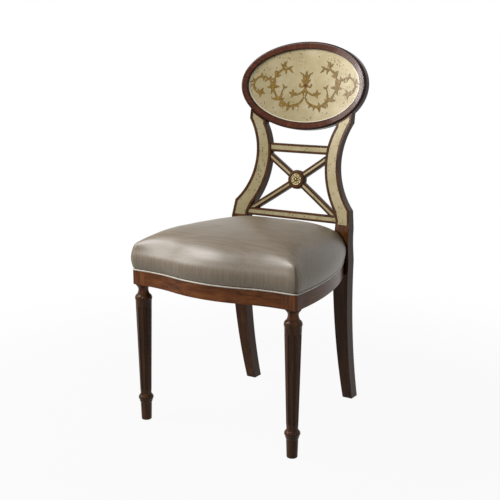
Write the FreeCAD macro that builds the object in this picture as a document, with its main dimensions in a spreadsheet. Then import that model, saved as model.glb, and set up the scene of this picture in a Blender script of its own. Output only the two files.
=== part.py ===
# Side chair with an oval back, waisted posts, a crossed lattice and a sprung upholstered seat.
# Millimetres. +Z is up, the sitter faces -Y, and +X is the sitter's left.
# While modelling, y = 0 is the plane of the front leg axes. The last step puts the origin on the
# floor, under the middle of the whole chair.
import FreeCAD, Part
import math
import os

V = FreeCAD.Vector
doc = FreeCAD.newDocument("oval_back_chair")
sheet = doc.addObject("Spreadsheet::Sheet", "Sizes")

# Driving dimensions, in millimetres, degrees, counts or shares
driving = [
    # seat frame
    ("legSpacing", 443), ("legBlock", 40), ("legBlockRound", 5), ("railBottom", 368),
    ("railHeight", 62), ("railThickness", 24), ("frontBow", 28),
    ("sideBowRadius", 830), ("postLegBack", 352), ("coverLedge", 36), ("coverRebate", 3),
    # tenons
    ("tenonThickness", 9), ("tenonLength", 15), ("tenonShoulder", 9), ("tenonOverlap", 8),
    ("latticeTenonThickness", 6), ("latticeTenonLength", 9), ("latticeTenonShoulder", 4),
    ("fitGap", 0.15), ("softGap", 0.3), ("overrun", 60), ("prismReach", 260),
    # turned front leg: heights from the floor, drops from the seat rail, and radii
    ("footRound", 2.5), ("footRadius", 13.4), ("ankleRise", 47), ("ankleRadius", 14.8),
    ("collarLowRise", 52), ("collarLowRadius", 17), ("beadRise", 61.3), ("beadRadius", 19.6),
    ("beadHalf", 6.2), ("beadFlatRadius", 16.8), ("neckLowRise", 78), ("neckLowRadius", 14.6),
    ("taperTopDrop", 43), ("taperTopRadius", 20.9), ("shoulderTopDrop", 27),
    ("shoulderTopRadius", 16), ("throatDrop", 19.5), ("throatRadius", 13.4),
    ("coveTopDrop", 6), ("coveTopRadius", 16.6), ("astragalRadius", 18.4), ("astragalHeight", 4),
    ("fluteCount", 8), ("fluteBottomRise", 84), ("fluteTopDrop", 59),
    ("fluteTopRadius", 3.4), ("fluteBottomRadius", 2.6), ("fluteDepth", 2.2),
    # rear post: how far it stands out of the side rail, is drawn in from there, and is wide
    ("postStandOut", 13.3), ("postSeatWidth", 46), ("footDrawIn", 14), ("postFootWidth", 25.6),
    ("kneeDrawIn", 1.5), ("kneeWidth", 45.2), ("hipDrawIn", 7.5), ("hipWidth", 48),
    ("waistDrawIn", 57.8), ("waistWidth", 41.7), ("shoulderDrawIn", 28.5), ("postTopWidth", 47),
    # rises along the rake, from the back's datum or from one another
    ("backAboveRail", 70), ("backSetBehind", 23.5), ("rakeAngle", 10.1), ("backRadius", 830),
    ("postSeatDrop", 95), ("postKneeDrop", 8), ("postKneeInnerRise", 6), ("hipOuterRise", 38),
    ("hipInnerRise", 29.5), ("waistRise", 167), ("shoulderAboveWaist", 100),
    ("postTopInnerDrop", 11), ("postTopHorn", 33), ("postTenonWidth", 22),
    ("legDepth", 32), ("backDepth", 21), ("legSweepRadius", 1263), ("legSweepAboveRail", 32),
    # inlays
    ("inlayMargin", 7), ("inlayDepth", 2.4), ("inlayRecess", 0.8), ("inlayBottomDrop", 2),
    ("railInlayMargin", 6), ("armInlayWidth", 6.4),
    # oval
    ("ovalSink", 24.1), ("ovalOverhang", 35.4), ("ovalHalfHeight", 119.6),
    ("ovalBand", 20), ("ovalProud", 1.5), ("ovalDepth", 22), ("ovalRound", 5), ("sightDepth", 5),
    ("rabbetWidth", 6), ("glassThickness", 4), ("panelThickness", 9),
    # lattice
    ("upperRailAboveWaist", 24.8), ("upperRailHeight", 24), ("lowerRailRise", 9.5),
    ("lowerRailHeight", 22), ("latticeRecess", 1.5), ("latticeDepth", 13.5), ("armWidth", 18),
    ("crossBelowWaist", 59.4), ("latticeRound", 2.4),
    # roundel and rosette
    ("roundelRadius", 26), ("roundelProud", 2.5), ("roundelRecess", 3.2), ("rosetteRadius", 16),
    ("rosetteRoom", 0.6), ("rosetteBase", 1.6), ("rosetteBoss", 3.6), ("petalCount", 8),
    ("petalWidth", 6), ("petalHeight", 1.8), ("petalSlope", 35), ("rosettePin", 1.6),
    ("rosettePinLength", 8), ("rosetteRim", 1.1),
    # corner blocks and screws
    ("blockHeight", 38), ("blockDrop", 12), ("screwRadius", 2.4),
    ("screwHeadRadius", 4.4), ("screwHeadHeight", 2.8), ("screwLength", 30),
    ("frontScrewSide", 26), ("frontScrewBack", 16), ("rearScrewSide", 27), ("rearScrewFront", 56),
    ("screwStagger", 16), ("blockReach", 22),
    # upholstery
    ("webbingWidth", 50), ("webbingThickness", 1.2), ("webbingLap", 16), ("webbingCount", 3),
    ("coverThickness", 1.4), ("coverLow", 1), ("coverBulge", 7), ("coverBulgeRise", 34),
    ("coverShoulderRise", 54), ("crownHeight", 60), ("crownMiddleShare", 0.46875),
    ("cushionCorner", 11), ("weltRadius", 2.2), ("dustCoverThickness", 0.8), ("dustCoverInset", 7),
]
for row, (word, number) in enumerate(driving, start=1):
    sheet.set(f"A{row}", word)
    sheet.set(f"B{row}", str(number))
    sheet.setAlias(f"B{row}", word)
doc.recompute()


def size(word):
    return float(sheet.get(word))


# Seat frame in plan
half_spacing = size("legSpacing") / 2
half_block = size("legBlock") / 2
front_face = -half_block
side_face = half_spacing + half_block


# Outside of the side rail at distance y behind the leg axes
def side_outer(y):
    run = max(y - half_block, 0)
    return side_face - size("sideBowRadius") + math.sqrt(size("sideBowRadius") ** 2 - run ** 2)


# Half widths of the back follow the side rails; each post edge is drawn in from its seat width
post_outer_seat = side_outer(size("postLegBack")) + size("postStandOut")
post_inner_seat = post_outer_seat - size("postSeatWidth")
post_outer_foot = post_outer_seat - size("footDrawIn")
post_outer_knee = post_outer_seat - size("kneeDrawIn")
post_outer_hip = post_outer_seat - size("hipDrawIn")
post_outer_waist = post_outer_seat - size("waistDrawIn")
post_outer_shoulder = post_outer_seat - size("shoulderDrawIn")
post_inner_knee = post_outer_knee - size("kneeWidth")
post_inner_hip = post_outer_hip - size("hipWidth")
post_inner_waist = post_outer_waist - size("waistWidth")
post_inner_top = post_outer_shoulder - size("postTopWidth")
oval_half_width = post_outer_shoulder + size("ovalOverhang")

# Heights and rises of the back, counted from the seat rail, the waist and the shoulder
back_rise = size("railBottom") + size("railHeight") + size("backAboveRail")
shoulder_rise = size("waistRise") + size("shoulderAboveWaist")
post_top_rise = shoulder_rise + size("postTopHorn")
oval_rise = shoulder_rise - size("ovalSink") + size("ovalHalfHeight")
cross_rise = size("waistRise") - size("crossBelowWaist")
arm_slope = math.atan2(size("crossBelowWaist"), post_inner_waist)

parts = []


# Names an object as one piece of the chair
def piece(obj, label):
    obj.Label = label
    parts.append(obj)
    return obj


# A piece whose form is worked out in code from the sheet
def formed(label, shape):
    obj = doc.addObject("Part::Feature", label)
    obj.Shape = shape
    return piece(obj, label)


def polygon_face(points):
    return Part.Face(Part.makePolygon(points + points[:1]))


# The back's own frame: x across, y square to the back and away from the sitter, z up the rake
rake = math.radians(size("rakeAngle"))
back_set = size("postLegBack") + size("backSetBehind")
sweep_end = size("railBottom") + size("legSweepAboveRail")
waist_height = back_rise + size("waistRise") * math.cos(rake)
back_place = FreeCAD.Placement(
    V(0, back_set, back_rise), FreeCAD.Rotation(V(1, 0, 0), -size("rakeAngle"))
)
back_normal = back_place.Rotation.multVec(V(0, 1, 0))


def on_back(shape):
    placed = shape.copy()
    placed.transformShape(back_place.toMatrix())
    return placed


# Depth of the concave back at distance x from its middle, negative towards the sitter
def sag(x):
    return math.sqrt(size("backRadius") ** 2 - x ** 2) - size("backRadius")


# A layer of the curved back between two depths behind its face
def back_layer(front, back):
    radius = size("backRadius")
    tall = 2 * post_top_rise + 2 * size("ovalHalfHeight")
    foot = V(0, -radius, -post_top_rise)
    outer = Part.makeCylinder(radius + back, tall, foot)
    inner = Part.makeCylinder(radius + front, tall, foot)
    return outer.cut(inner)


# A flat outline in x and z made into a prism through the back
def back_prism(face):
    reach = size("prismReach")
    lifted = face.copy()
    lifted.translate(V(0, -reach, 0))
    return lifted.extrude(V(0, 2 * reach, 0))


def back_bar(x_from, x_to, z_middle, height):
    low = z_middle - height / 2
    high = z_middle + height / 2
    return polygon_face([V(x_from, 0, low), V(x_to, 0, low), V(x_to, 0, high), V(x_from, 0, high)])


def mirrored(shape):
    return shape.mirror(V(0, 0, 0), V(1, 0, 0))


# Circle arc that leaves the waist upright and ends at a given point
def waist_arc(waist_x, waist_z, end_x, end_z):
    dx = abs(end_x - waist_x)
    dz = end_z - waist_z
    radius = (dx ** 2 + dz ** 2) / (2 * dx)
    half = math.asin(abs(dz) / radius) / 2
    middle = V(waist_x + radius * (1 - math.cos(half)), 0, waist_z + math.copysign(radius * math.sin(half), dz))
    return Part.Arc(V(waist_x, 0, waist_z), middle, V(end_x, 0, end_z)).toShape()


# Outline of the chair's +X post, seen square to the back
def post_outline():
    foot = -back_rise * math.cos(rake) - size("overrun")
    waist = size("waistRise")
    foot_outer = V(post_outer_foot, 0, foot)
    seat_outer = V(post_outer_seat, 0, -size("postSeatDrop"))
    knee_outer = V(post_outer_knee, 0, -size("postKneeDrop"))
    hip_outer = V(post_outer_hip, 0, size("hipOuterRise"))
    shoulder = V(post_outer_shoulder, 0, shoulder_rise)
    top_outer = V(post_outer_shoulder, 0, post_top_rise)
    top_inner = V(post_inner_top, 0, post_top_rise)
    neck_inner = V(post_inner_top, 0, shoulder_rise - size("postTopInnerDrop"))
    hip_inner = V(post_inner_hip, 0, size("hipInnerRise"))
    knee_inner = V(post_inner_knee, 0, size("postKneeInnerRise"))
    seat_inner = V(post_inner_seat, 0, -size("postSeatDrop"))
    foot_inner = V(post_outer_foot - size("postFootWidth"), 0, foot)

    def line(start, end):
        return Part.makeLine(start, end)

    edges = [
        line(foot_outer, seat_outer), line(seat_outer, knee_outer), line(knee_outer, hip_outer),
        waist_arc(post_outer_waist, waist, hip_outer.x, hip_outer.z),
        waist_arc(post_outer_waist, waist, shoulder.x, shoulder.z),
        line(shoulder, top_outer), line(top_outer, top_inner), line(top_inner, neck_inner),
        waist_arc(post_inner_waist, waist, neck_inner.x, neck_inner.z),
        waist_arc(post_inner_waist, waist, hip_inner.x, hip_inner.z),
        line(hip_inner, knee_inner), line(knee_inner, seat_inner), line(seat_inner, foot_inner),
        line(foot_inner, foot_outer),
    ]
    return Part.Face(Part.Wire(Part.__sortEdges__(edges)))


# Smooth change from nought to one
def ease(share):
    share = min(max(share, 0), 1)
    return share * share * (3 - 2 * share)


# Side profile of a post: front face, depth and how far the hollow of the back has set in
def post_station(z):
    leg_front = size("postLegBack") + max(sweep_end - z, 0) ** 2 / (2 * size("legSweepRadius"))
    back_front = back_set + (z - back_rise) * math.tan(rake)
    hollow = ease((z - sweep_end) / (back_rise - sweep_end))
    thinned = ease((z - sweep_end) / (waist_height - sweep_end))
    deep = size("legDepth") + thinned * (size("backDepth") - size("legDepth"))
    front = leg_front + hollow * (back_front - leg_front)
    return front, deep * (1 + hollow * (1 / math.cos(rake) - 1)), hollow


# One level of the posts' slab: two shallow parabolas joined by straight sides
def slab_wire(z, grow):
    front, deep, hollow = post_station(z)
    near = post_inner_waist - size("overrun") / 2
    far = post_outer_seat + size("overrun") / 2
    curve = hollow / math.cos(rake) / (2 * size("backRadius"))

    def curved(y):
        drop = [y - curve * near ** 2, y - curve * near * far, y - curve * far ** 2]
        bend = Part.BezierCurve()
        bend.setPoles([V(near, drop[0], z), V((near + far) / 2, drop[1], z), V(far, drop[2], z)])
        return bend.toShape()

    face_edge = curved(front - grow)
    rear_edge = curved(front + deep + grow)
    side_near = Part.makeLine(face_edge.Vertexes[0].Point, rear_edge.Vertexes[0].Point)
    side_far = Part.makeLine(face_edge.Vertexes[-1].Point, rear_edge.Vertexes[-1].Point)
    return Part.Wire([face_edge, side_far, rear_edge, side_near])


def slab_loft(low, high, bands, grow, straight=False):
    levels = [low + (high - low) * step / bands for step in range(bands + 1)]
    return Part.makeLoft([slab_wire(z, grow) for z in levels], True, straight)


# The post before its joints are cut, or that shape grown by a clearance
def post_blank(grow=0):
    slab = slab_loft(0, sweep_end, 6, grow)
    slab = slab.fuse(slab_loft(sweep_end, back_rise, 5, grow))
    slab = slab.fuse(slab_loft(back_rise, waist_height, 6, grow, True))
    slab = slab.fuse(slab_loft(waist_height, back_rise + post_top_rise + size("overrun") / 2, 1, grow, True))
    outline = post_outline()
    if grow:
        outline = outline.makeOffset2D(grow, 2)
    return slab.common(on_back(back_prism(outline)))


# Ellipse on the back, as a face
def oval_face(half_width, half_height):
    centre = V(0, 0, oval_rise)
    ring = Part.Ellipse(centre + V(half_width, 0, 0), centre + V(0, 0, half_height), centre)
    return Part.Face(Part.Wire(ring.toShape()))


def oval_prism(grow):
    return back_prism(oval_face(oval_half_width + grow, size("ovalHalfHeight") + grow))


# A short square peg across a joint: length along x, width up the back, thickness through it
def back_peg(x_from, x_to, depth, z_middle, width, thickness, gap=0):
    bar = back_bar(x_from - gap, x_to + gap, z_middle, width + 2 * gap)
    bar.translate(V(0, depth - thickness / 2 - gap, 0))
    return bar.extrude(V(0, thickness + 2 * gap, 0))


# Half width of the gap between the posts at a rise on the back
def post_inner_at(rise):
    waist = size("waistRise")
    if rise < size("hipInnerRise"):
        knee = size("postKneeInnerRise")
        along = min(max((rise - knee) / (size("hipInnerRise") - knee), 0), 1)
        return post_inner_knee + along * (post_inner_hip - post_inner_knee)
    end_x, end_z = post_inner_hip, size("hipInnerRise")
    if rise > waist:
        end_x, end_z = post_inner_top, shoulder_rise - size("postTopInnerDrop")
    dx = end_x - post_inner_waist
    radius = (dx ** 2 + (end_z - waist) ** 2) / (2 * dx)
    return post_inner_waist + radius - math.sqrt(radius ** 2 - (rise - waist) ** 2)


# Rails and lattice of the back; their tenons lie midway behind the inlays
lattice_middle = size("latticeRecess") + (size("latticeDepth") + size("inlayDepth")) / 2
lattice_rails = {
    "upper": (size("waistRise") + size("upperRailAboveWaist"), size("upperRailHeight")),
    "lower": (size("lowerRailRise"), size("lowerRailHeight")),
}


def rail_peg(name, gap=0):
    rise, height = lattice_rails[name]
    edge = post_inner_at(rise)
    depth = lattice_middle + sag(edge)
    width = height - 2 * size("latticeTenonShoulder")
    return back_peg(
        edge - size("tenonOverlap"), edge + size("latticeTenonLength"), depth, rise, width,
        size("latticeTenonThickness"), gap,
    )


# Arm of the cross that runs from the roundel to the +X post, up or down
def arm_bar(direction, half_width, start, end):
    angle = arm_slope * direction
    along = V(math.cos(angle), 0, math.sin(angle))
    across = V(-math.sin(angle), 0, math.cos(angle)) * half_width
    middle = V(0, 0, cross_rise)
    near = middle + along * start
    far = middle + along * end
    return polygon_face([near - across, far - across, far + across, near + across])


# Where an arm's middle line meets the post, measured from the cross
def arm_reach(direction):
    reach = size("roundelRadius")
    angle = arm_slope
    step = size("fitGap")
    while reach * math.cos(angle) < post_inner_at(cross_rise + direction * reach * math.sin(angle)):
        reach += step
    return reach


def arm_peg(direction, gap=0, outer=True):
    half = size("armWidth") / 2 - size("latticeTenonShoulder")
    thick = size("latticeTenonThickness")
    if outer:
        reach = arm_reach(direction)
        start, end = reach - size("tenonOverlap"), reach + size("latticeTenonLength")
        depth = lattice_middle + sag(reach * math.cos(arm_slope))
    else:
        start = size("roundelRadius") - size("latticeTenonLength")
        end = size("roundelRadius") + size("tenonOverlap")
        depth = lattice_middle
    bar = arm_bar(direction, half + gap, start - gap, end + gap)
    bar.translate(V(0, depth - thick / 2 - gap, 0))
    return bar.extrude(V(0, thick + 2 * gap, 0))


def roundel_blank(grow=0):
    front = size("latticeRecess") - size("roundelProud") - grow
    deep = size("latticeDepth") + size("roundelProud") + 2 * grow
    foot = V(0, front, cross_rise)
    return Part.makeCylinder(size("roundelRadius") + grow, deep, foot, V(0, 1, 0))


# Pocket for an inlay, or the inlay itself, from a prism on the back
def inlay_slip(prism, top):
    floor = top + size("inlayDepth")
    return prism.common(back_layer(top + size("inlayRecess"), floor))


def inlay_pocket(prism, top):
    return prism.common(back_layer(top - size("overrun") / 2, top + size("inlayDepth")))


# Post inlay: the post's outline drawn in by the margin, coped to the oval
def post_inlay_prism():
    drawn_in = post_outline().makeOffset2D(-size("inlayMargin"), 2)
    prism = back_prism(drawn_in).cut(oval_prism(size("inlayMargin") / 2))
    below = back_bar(0, post_outer_seat + size("overrun"), 0, 2 * back_rise)
    below.translate(V(0, 0, -back_rise - size("inlayBottomDrop")))
    return prism.cut(back_prism(below))


# Rounds the long front edges of a bent piece whose face lies at one depth
def soften(shape, depth, least, radius):
    edges = []
    for edge in shape.Edges:
        middle = edge.valueAt((edge.FirstParameter + edge.LastParameter) / 2)
        ends = [vertex.Point for vertex in edge.Vertexes] + [middle]
        on_front = all(abs(point.y - sag(point.x) - depth) < size("fitGap") for point in ends)
        if on_front and edge.Length > least:
            edges.append(edge)
    return shape.makeFillet(radius, edges)


post_plain = post_blank()
plain_posts = [post_plain, mirrored(post_plain)]
post_tenon_middle = (post_outer_shoulder + post_inner_top) / 2


# Tenon on top of a post, let into the underside of the oval
def post_top_peg(gap=0):
    half = size("postTenonWidth") / 2
    share = 1 - (post_tenon_middle / oval_half_width) ** 2
    edge = oval_rise - size("ovalHalfHeight") * math.sqrt(share)
    low = edge - 2 * size("tenonOverlap")
    high = edge + size("latticeTenonLength")
    middle, height = (low + high) / 2, high - low
    depth = size("backDepth") / 2 + sag(post_tenon_middle)
    return back_peg(
        post_tenon_middle - half, post_tenon_middle + half, depth, middle, height,
        size("latticeTenonThickness"), gap,
    )


# Tenons of the seat frame: plain boxes from one corner to the opposite one
def peg_box(low, high, gap=0):
    grow = V(gap, gap, gap)
    span = high - low + grow * 2
    return Part.makeBox(span.x, span.y, span.z, low - grow)


tenon_low = size("railBottom") + size("tenonShoulder")
tenon_high = size("railBottom") + size("coverLedge") + size("tenonShoulder")
rail_inner_front = front_face + size("railThickness")


def front_peg(gap=0):
    start = half_spacing - half_block
    back = rail_inner_front - size("tenonThickness") / 2
    low = V(start - size("tenonOverlap"), back - size("tenonThickness"), tenon_low)
    return peg_box(low, V(start + size("tenonLength"), back, tenon_high), gap)


def side_front_peg(gap=0):
    x = side_face - size("railThickness") / 2
    low = V(x - size("tenonThickness") / 2, half_block - size("tenonLength"), tenon_low)
    return peg_box(low, V(low.x + size("tenonThickness"), half_block + size("tenonOverlap"), tenon_high), gap)


back_rail_front = size("postLegBack") + size("tenonShoulder") / 2
back_rail_rear = back_rail_front + size("railThickness")
back_tenon_front = (back_rail_front + back_rail_rear - size("tenonThickness")) / 2


def back_peg_box(gap=0):
    low = V(post_inner_seat - size("tenonOverlap"), back_tenon_front, tenon_low)
    high = V(post_inner_seat + size("tenonLength") / 2, back_tenon_front + size("tenonThickness"), tenon_high)
    return peg_box(low, high, gap)


# The side rail's rear tenon stops short of the back rail's, which crosses it inside the post
def side_back_peg(gap=0):
    x = side_outer(size("postLegBack")) - size("railThickness") / 2
    low = V(x - size("tenonThickness") / 2, size("postLegBack") - size("tenonOverlap"), tenon_low)
    high = V(x + size("tenonThickness") / 2, back_tenon_front - 2 * size("softGap"), tenon_high)
    return peg_box(low, high, gap)


# Rear posts: leg, hip, waist and shoulder in one piece
post_pocket = on_back(inlay_pocket(post_inlay_prism(), 0))
oval_cope = on_back(oval_prism(0))
gap = size("fitGap")
post = post_plain.cut(oval_cope).cut(post_pocket)
post = post.fuse(on_back(post_top_peg()))
mortises = [on_back(rail_peg("upper", gap)), on_back(rail_peg("lower", gap))]
mortises += [on_back(arm_peg(1, gap)), side_back_peg(gap), back_peg_box(gap)]
for mortise in mortises:
    post = post.cut(mortise)
formed("back_post_left", post)
formed("back_post_right", mirrored(post))

# Inlaid panel down the face of each post
post_slip = on_back(inlay_slip(post_inlay_prism(), 0))
formed("post_inlay_left", post_slip)
formed("post_inlay_right", mirrored(post_slip))

# Oval frame: a bent ring with a rounded edge, rabbeted from behind for the glass
ring_front = -size("ovalProud")
ring_back = ring_front + size("ovalDepth")
sight_width = oval_half_width - size("ovalBand")
sight_height = size("ovalHalfHeight") - size("ovalBand")
rabbet = size("rabbetWidth")
ring = oval_prism(0).common(back_layer(ring_front, ring_back))
ring = soften(ring, ring_front, size("ovalHalfHeight"), size("ovalRound"))
ring = ring.cut(back_prism(oval_face(sight_width, sight_height)))
glass_front = ring_front + size("sightDepth")
rabbet_prism = back_prism(oval_face(sight_width + rabbet, sight_height + rabbet))
ring = ring.cut(rabbet_prism.common(back_layer(glass_front, ring_back + size("overrun"))))
for peg in (post_top_peg(gap), mirrored(post_top_peg(gap))):
    ring = ring.cut(peg)
formed("oval_frame", on_back(ring))

# Painted glass and the panel behind it, both bent to the back
inside = rabbet - size("softGap")
pane_prism = back_prism(oval_face(sight_width + inside, sight_height + inside))
glass_back = glass_front + size("glassThickness")
formed("oval_glass", on_back(pane_prism.common(back_layer(glass_front, glass_back))))
panel_back = glass_back + size("panelThickness")
formed("oval_back_panel", on_back(pane_prism.common(back_layer(glass_back, panel_back))))

# Cross rails of the back
lattice_layer = back_layer(size("latticeRecess"), size("latticeRecess") + size("latticeDepth"))
for name, (rise, height) in lattice_rails.items():
    reach = post_outer_seat
    blank = back_prism(back_bar(-reach, reach, rise, height)).common(lattice_layer)
    blank = on_back(soften(blank, size("latticeRecess"), reach, size("latticeRound")))
    for post_shape in plain_posts:
        blank = blank.cut(post_shape)
    blank = max(blank.Solids, key=lambda solid: solid.Volume)
    inlay_reach = post_inner_at(rise) + size("overrun")
    strip = back_prism(back_bar(-inlay_reach, inlay_reach, rise, height - 2 * size("railInlayMargin")))
    blank = blank.cut(on_back(inlay_pocket(strip, size("latticeRecess"))))
    slip = on_back(inlay_slip(strip, size("latticeRecess")))
    for post_shape in plain_posts:
        slip = slip.cut(post_shape)
    slip = min(slip.Solids, key=lambda solid: abs(solid.CenterOfMass.x))
    for peg in (rail_peg(name), mirrored(rail_peg(name))):
        blank = blank.fuse(on_back(peg))
    formed(f"{name}_cross_rail", blank)
    formed(f"{name}_rail_inlay", slip)

# Outer shapes of the back's rails and of the roundel, for the arms to butt against
rail_bodies = []
for rise, height in lattice_rails.values():
    reach = post_outer_seat
    rail_bodies.append(on_back(back_prism(back_bar(-reach, reach, rise, height)).common(lattice_layer)))

# Four arms of the cross, each tenoned to the roundel and to a post
for word, direction in (("upper", 1), ("lower", -1)):
    far = arm_reach(direction) + size("overrun")
    bar = back_prism(arm_bar(direction, size("armWidth") / 2, 0, far))
    bar = soften(bar.common(lattice_layer), size("latticeRecess"), 2 * size("armWidth"), size("latticeRound"))
    arm = on_back(bar).cut(on_back(roundel_blank())).cut(post_plain)
    strip = back_prism(arm_bar(direction, size("armInlayWidth") / 2, 0, far))
    slip = on_back(inlay_slip(strip, size("latticeRecess"))).cut(on_back(roundel_blank()))
    slip = slip.cut(post_plain)
    arm = arm.cut(on_back(inlay_pocket(strip, size("latticeRecess"))))
    for rail in rail_bodies:
        arm = arm.cut(rail)
        slip = slip.cut(rail)
    middle = back_place.multVec(V(0, 0, cross_rise))
    arm = min(arm.Solids, key=lambda solid: solid.CenterOfMass.distanceToPoint(middle))
    slip = min(slip.Solids, key=lambda solid: solid.CenterOfMass.distanceToPoint(middle))
    arm = arm.fuse(on_back(arm_peg(direction, outer=False)))
    if direction > 0:
        arm = arm.fuse(on_back(arm_peg(direction)))
    formed(f"{word}_arm_left", arm)
    formed(f"{word}_arm_right", mirrored(arm))
    formed(f"{word}_arm_inlay_left", slip)
    formed(f"{word}_arm_inlay_right", mirrored(slip))


# A PartDesign body with a way to add a sketch on one of its origin planes
def new_body(name, placement):
    body = doc.addObject("PartDesign::Body", name)
    body.Placement = placement
    return body


def origin_part(body, role):
    return next(item for item in body.Origin.OriginFeatures if item.Role == role)


def new_sketch(body, name, role, lift="0"):
    sketch = body.newObject("Sketcher::SketchObject", name)
    sketch.AttachmentSupport = [(origin_part(body, role), "")]
    sketch.MapMode = "FlatFace"
    sketch.setExpression(".AttachmentOffset.Base.z", lift)
    return sketch


# Adds a chain to a sketch: plain points make lines, a pair (through, end) makes an arc
def draw_chain(sketch, start, steps):
    at = V(*start, 0)
    for step in steps:
        if isinstance(step[0], tuple):
            through, end = V(*step[0], 0), V(*step[1], 0)
            sketch.addGeometry(Part.Arc(at, through, end), False)
        else:
            end = V(*step, 0)
            sketch.addGeometry(Part.LineSegment(at, end), False)
        at = end


# Middle of a round between two points, bulging by a share of their distance to the left
def bulge(start, end, share):
    dx, dy = end[0] - start[0], end[1] - start[1]
    return ((start[0] + end[0]) / 2 - dy * share, (start[1] + end[1]) / 2 + dx * share)


def revolve(body, sketch, kind, axis):
    feature = body.newObject(f"PartDesign::{kind}", f"{body.Name}{kind}")
    feature.Profile = sketch
    feature.ReferenceAxis = (sketch, [axis])
    feature.Angle = 360
    return feature


def pad(body, sketch, length):
    feature = body.newObject("PartDesign::Pad", f"{sketch.Name}Pad")
    feature.Profile = sketch
    feature.setExpression("Length", length)
    return feature


def repeat_round(body, feature, count):
    pattern = body.newObject("PartDesign::PolarPattern", f"{feature.Name}Ring")
    pattern.Originals = [feature]
    pattern.Axis = (origin_part(body, "Z_Axis"), [""])
    pattern.Angle = 360
    pattern.setExpression("Occurrences", count)
    body.Tip = pattern
    return pattern


quarter_round_share = (math.sqrt(2) - 1) / 2
shallow_round_share = 0.13

# Turned, tapered and fluted front leg with its square block
leg = new_body("LegTurning", FreeCAD.Placement(V(half_spacing, 0, 0), FreeCAD.Rotation()))
turning = new_sketch(leg, "LegProfile", "XZ_Plane")
foot_corner = (size("footRadius") - size("footRound"), 0)
foot_side = (size("footRadius"), size("footRound"))
bead_low = (size("beadFlatRadius"), size("beadRise") - size("beadHalf"))
bead_high = (size("beadFlatRadius"), size("beadRise") + size("beadHalf"))
neck_low = (size("neckLowRadius"), size("neckLowRise"))
taper_top = (size("taperTopRadius"), size("railBottom") - size("taperTopDrop"))
shoulder_top = (size("shoulderTopRadius"), size("railBottom") - size("shoulderTopDrop"))
throat = (size("throatRadius"), size("railBottom") - size("throatDrop"))
cove_top = (size("coveTopRadius"), size("railBottom") - size("coveTopDrop"))
ring_low = (size("astragalRadius"), size("railBottom") - size("astragalHeight"))
ring_high = (size("astragalRadius"), size("railBottom"))
draw_chain(turning, (0, 0), [
    foot_corner,
    (bulge(foot_corner, foot_side, -quarter_round_share), foot_side),
    (size("ankleRadius"), size("ankleRise")),
    (size("collarLowRadius"), size("collarLowRise")),
    bead_low,
    ((size("beadRadius"), size("beadRise")), bead_high),
    (bulge(bead_high, neck_low, shallow_round_share), neck_low),
    taper_top,
    (bulge(taper_top, shoulder_top, -quarter_round_share), shoulder_top),
    throat,
    (bulge(throat, cove_top, shallow_round_share), cove_top),
    (size("coveTopRadius"), ring_low[1]),
    ring_low,
    (bulge(ring_low, ring_high, -quarter_round_share), ring_high),
    (0, size("railBottom")),
    (0, 0),
])
revolve(leg, turning, "Revolution", "V_Axis")


# Square block outline with its outer front corner rounded, set back by a rebate
def block_steps(sketch, rebate):
    inner, outer = -half_block, half_block - rebate
    front = -half_block + rebate
    bend = size("legBlockRound")
    start = (inner, half_block)
    side = (outer, front + bend)
    face = (outer - bend, front)
    draw_chain(sketch, start, [
        (outer, half_block), side, (bulge(side, face, -quarter_round_share), face), (inner, front), start,
    ])


block_low = new_sketch(leg, "BlockLow", "XY_Plane", "Sizes.railBottom")
block_steps(block_low, 0)
pad(leg, block_low, "Sizes.coverLedge")
block_high = new_sketch(leg, "BlockHigh", "XY_Plane", "Sizes.railBottom + Sizes.coverLedge")
block_steps(block_high, size("coverRebate"))
pad(leg, block_high, "Sizes.railHeight - Sizes.coverLedge")


# Radius of the leg's taper at a height
def taper_radius(rise):
    share = (rise - neck_low[1]) / (taper_top[1] - neck_low[1])
    return neck_low[0] + share * (taper_top[0] - neck_low[0])


# One flute, cut by turning a long round-ended cone about its own leaning axis
flute = new_sketch(leg, "FluteProfile", "XZ_Plane")
low_rise = size("fluteBottomRise") + size("fluteBottomRadius")
high_rise = size("railBottom") - size("fluteTopDrop") - size("fluteTopRadius")
low = V(taper_radius(low_rise) + size("fluteBottomRadius") - size("fluteDepth"), low_rise, 0)
high = V(taper_radius(high_rise) + size("fluteTopRadius") - size("fluteDepth"), high_rise, 0)
along = (high - low).normalize()
across = V(along.y, -along.x, 0)
round_share = math.sqrt(0.5)
low_end = low - along * size("fluteBottomRadius")
high_end = high + along * size("fluteTopRadius")
low_side = low + across * size("fluteBottomRadius")
high_side = high + across * size("fluteTopRadius")
low_turn = low + (across - along) * (size("fluteBottomRadius") * round_share)
high_turn = high + (across + along) * (size("fluteTopRadius") * round_share)
flute.addGeometry(Part.LineSegment(low_end, high_end), True)
draw_chain(flute, (low_end.x, low_end.y), [
    ((low_turn.x, low_turn.y), (low_side.x, low_side.y)),
    (high_side.x, high_side.y),
    ((high_turn.x, high_turn.y), (high_end.x, high_end.y)),
    (low_end.x, low_end.y),
])
doc.recompute()
groove = revolve(leg, flute, "Groove", "Axis0")
doc.recompute()
repeat_round(leg, groove, "Sizes.fluteCount")
doc.recompute()


# A boolean of two document objects
def boolean(kind, label, base, tool):
    obj = doc.addObject(f"Part::{kind}", label)
    obj.Base = base
    obj.Tool = tool
    return obj


def helper(name, shape):
    obj = doc.addObject("Part::Feature", name)
    obj.Shape = shape
    return obj


def mirror_object(label, source):
    obj = doc.addObject("Part::Mirroring", label)
    obj.Source = source
    obj.Normal = V(1, 0, 0)
    return piece(obj, label)


leg_mortises = helper("LegMortises", Part.makeCompound([front_peg(gap), side_front_peg(gap)]))
left_leg = piece(boolean("Cut", "front_leg_left", leg, leg_mortises), "front_leg_left")
mirror_object("front_leg_right", left_leg)


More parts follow.
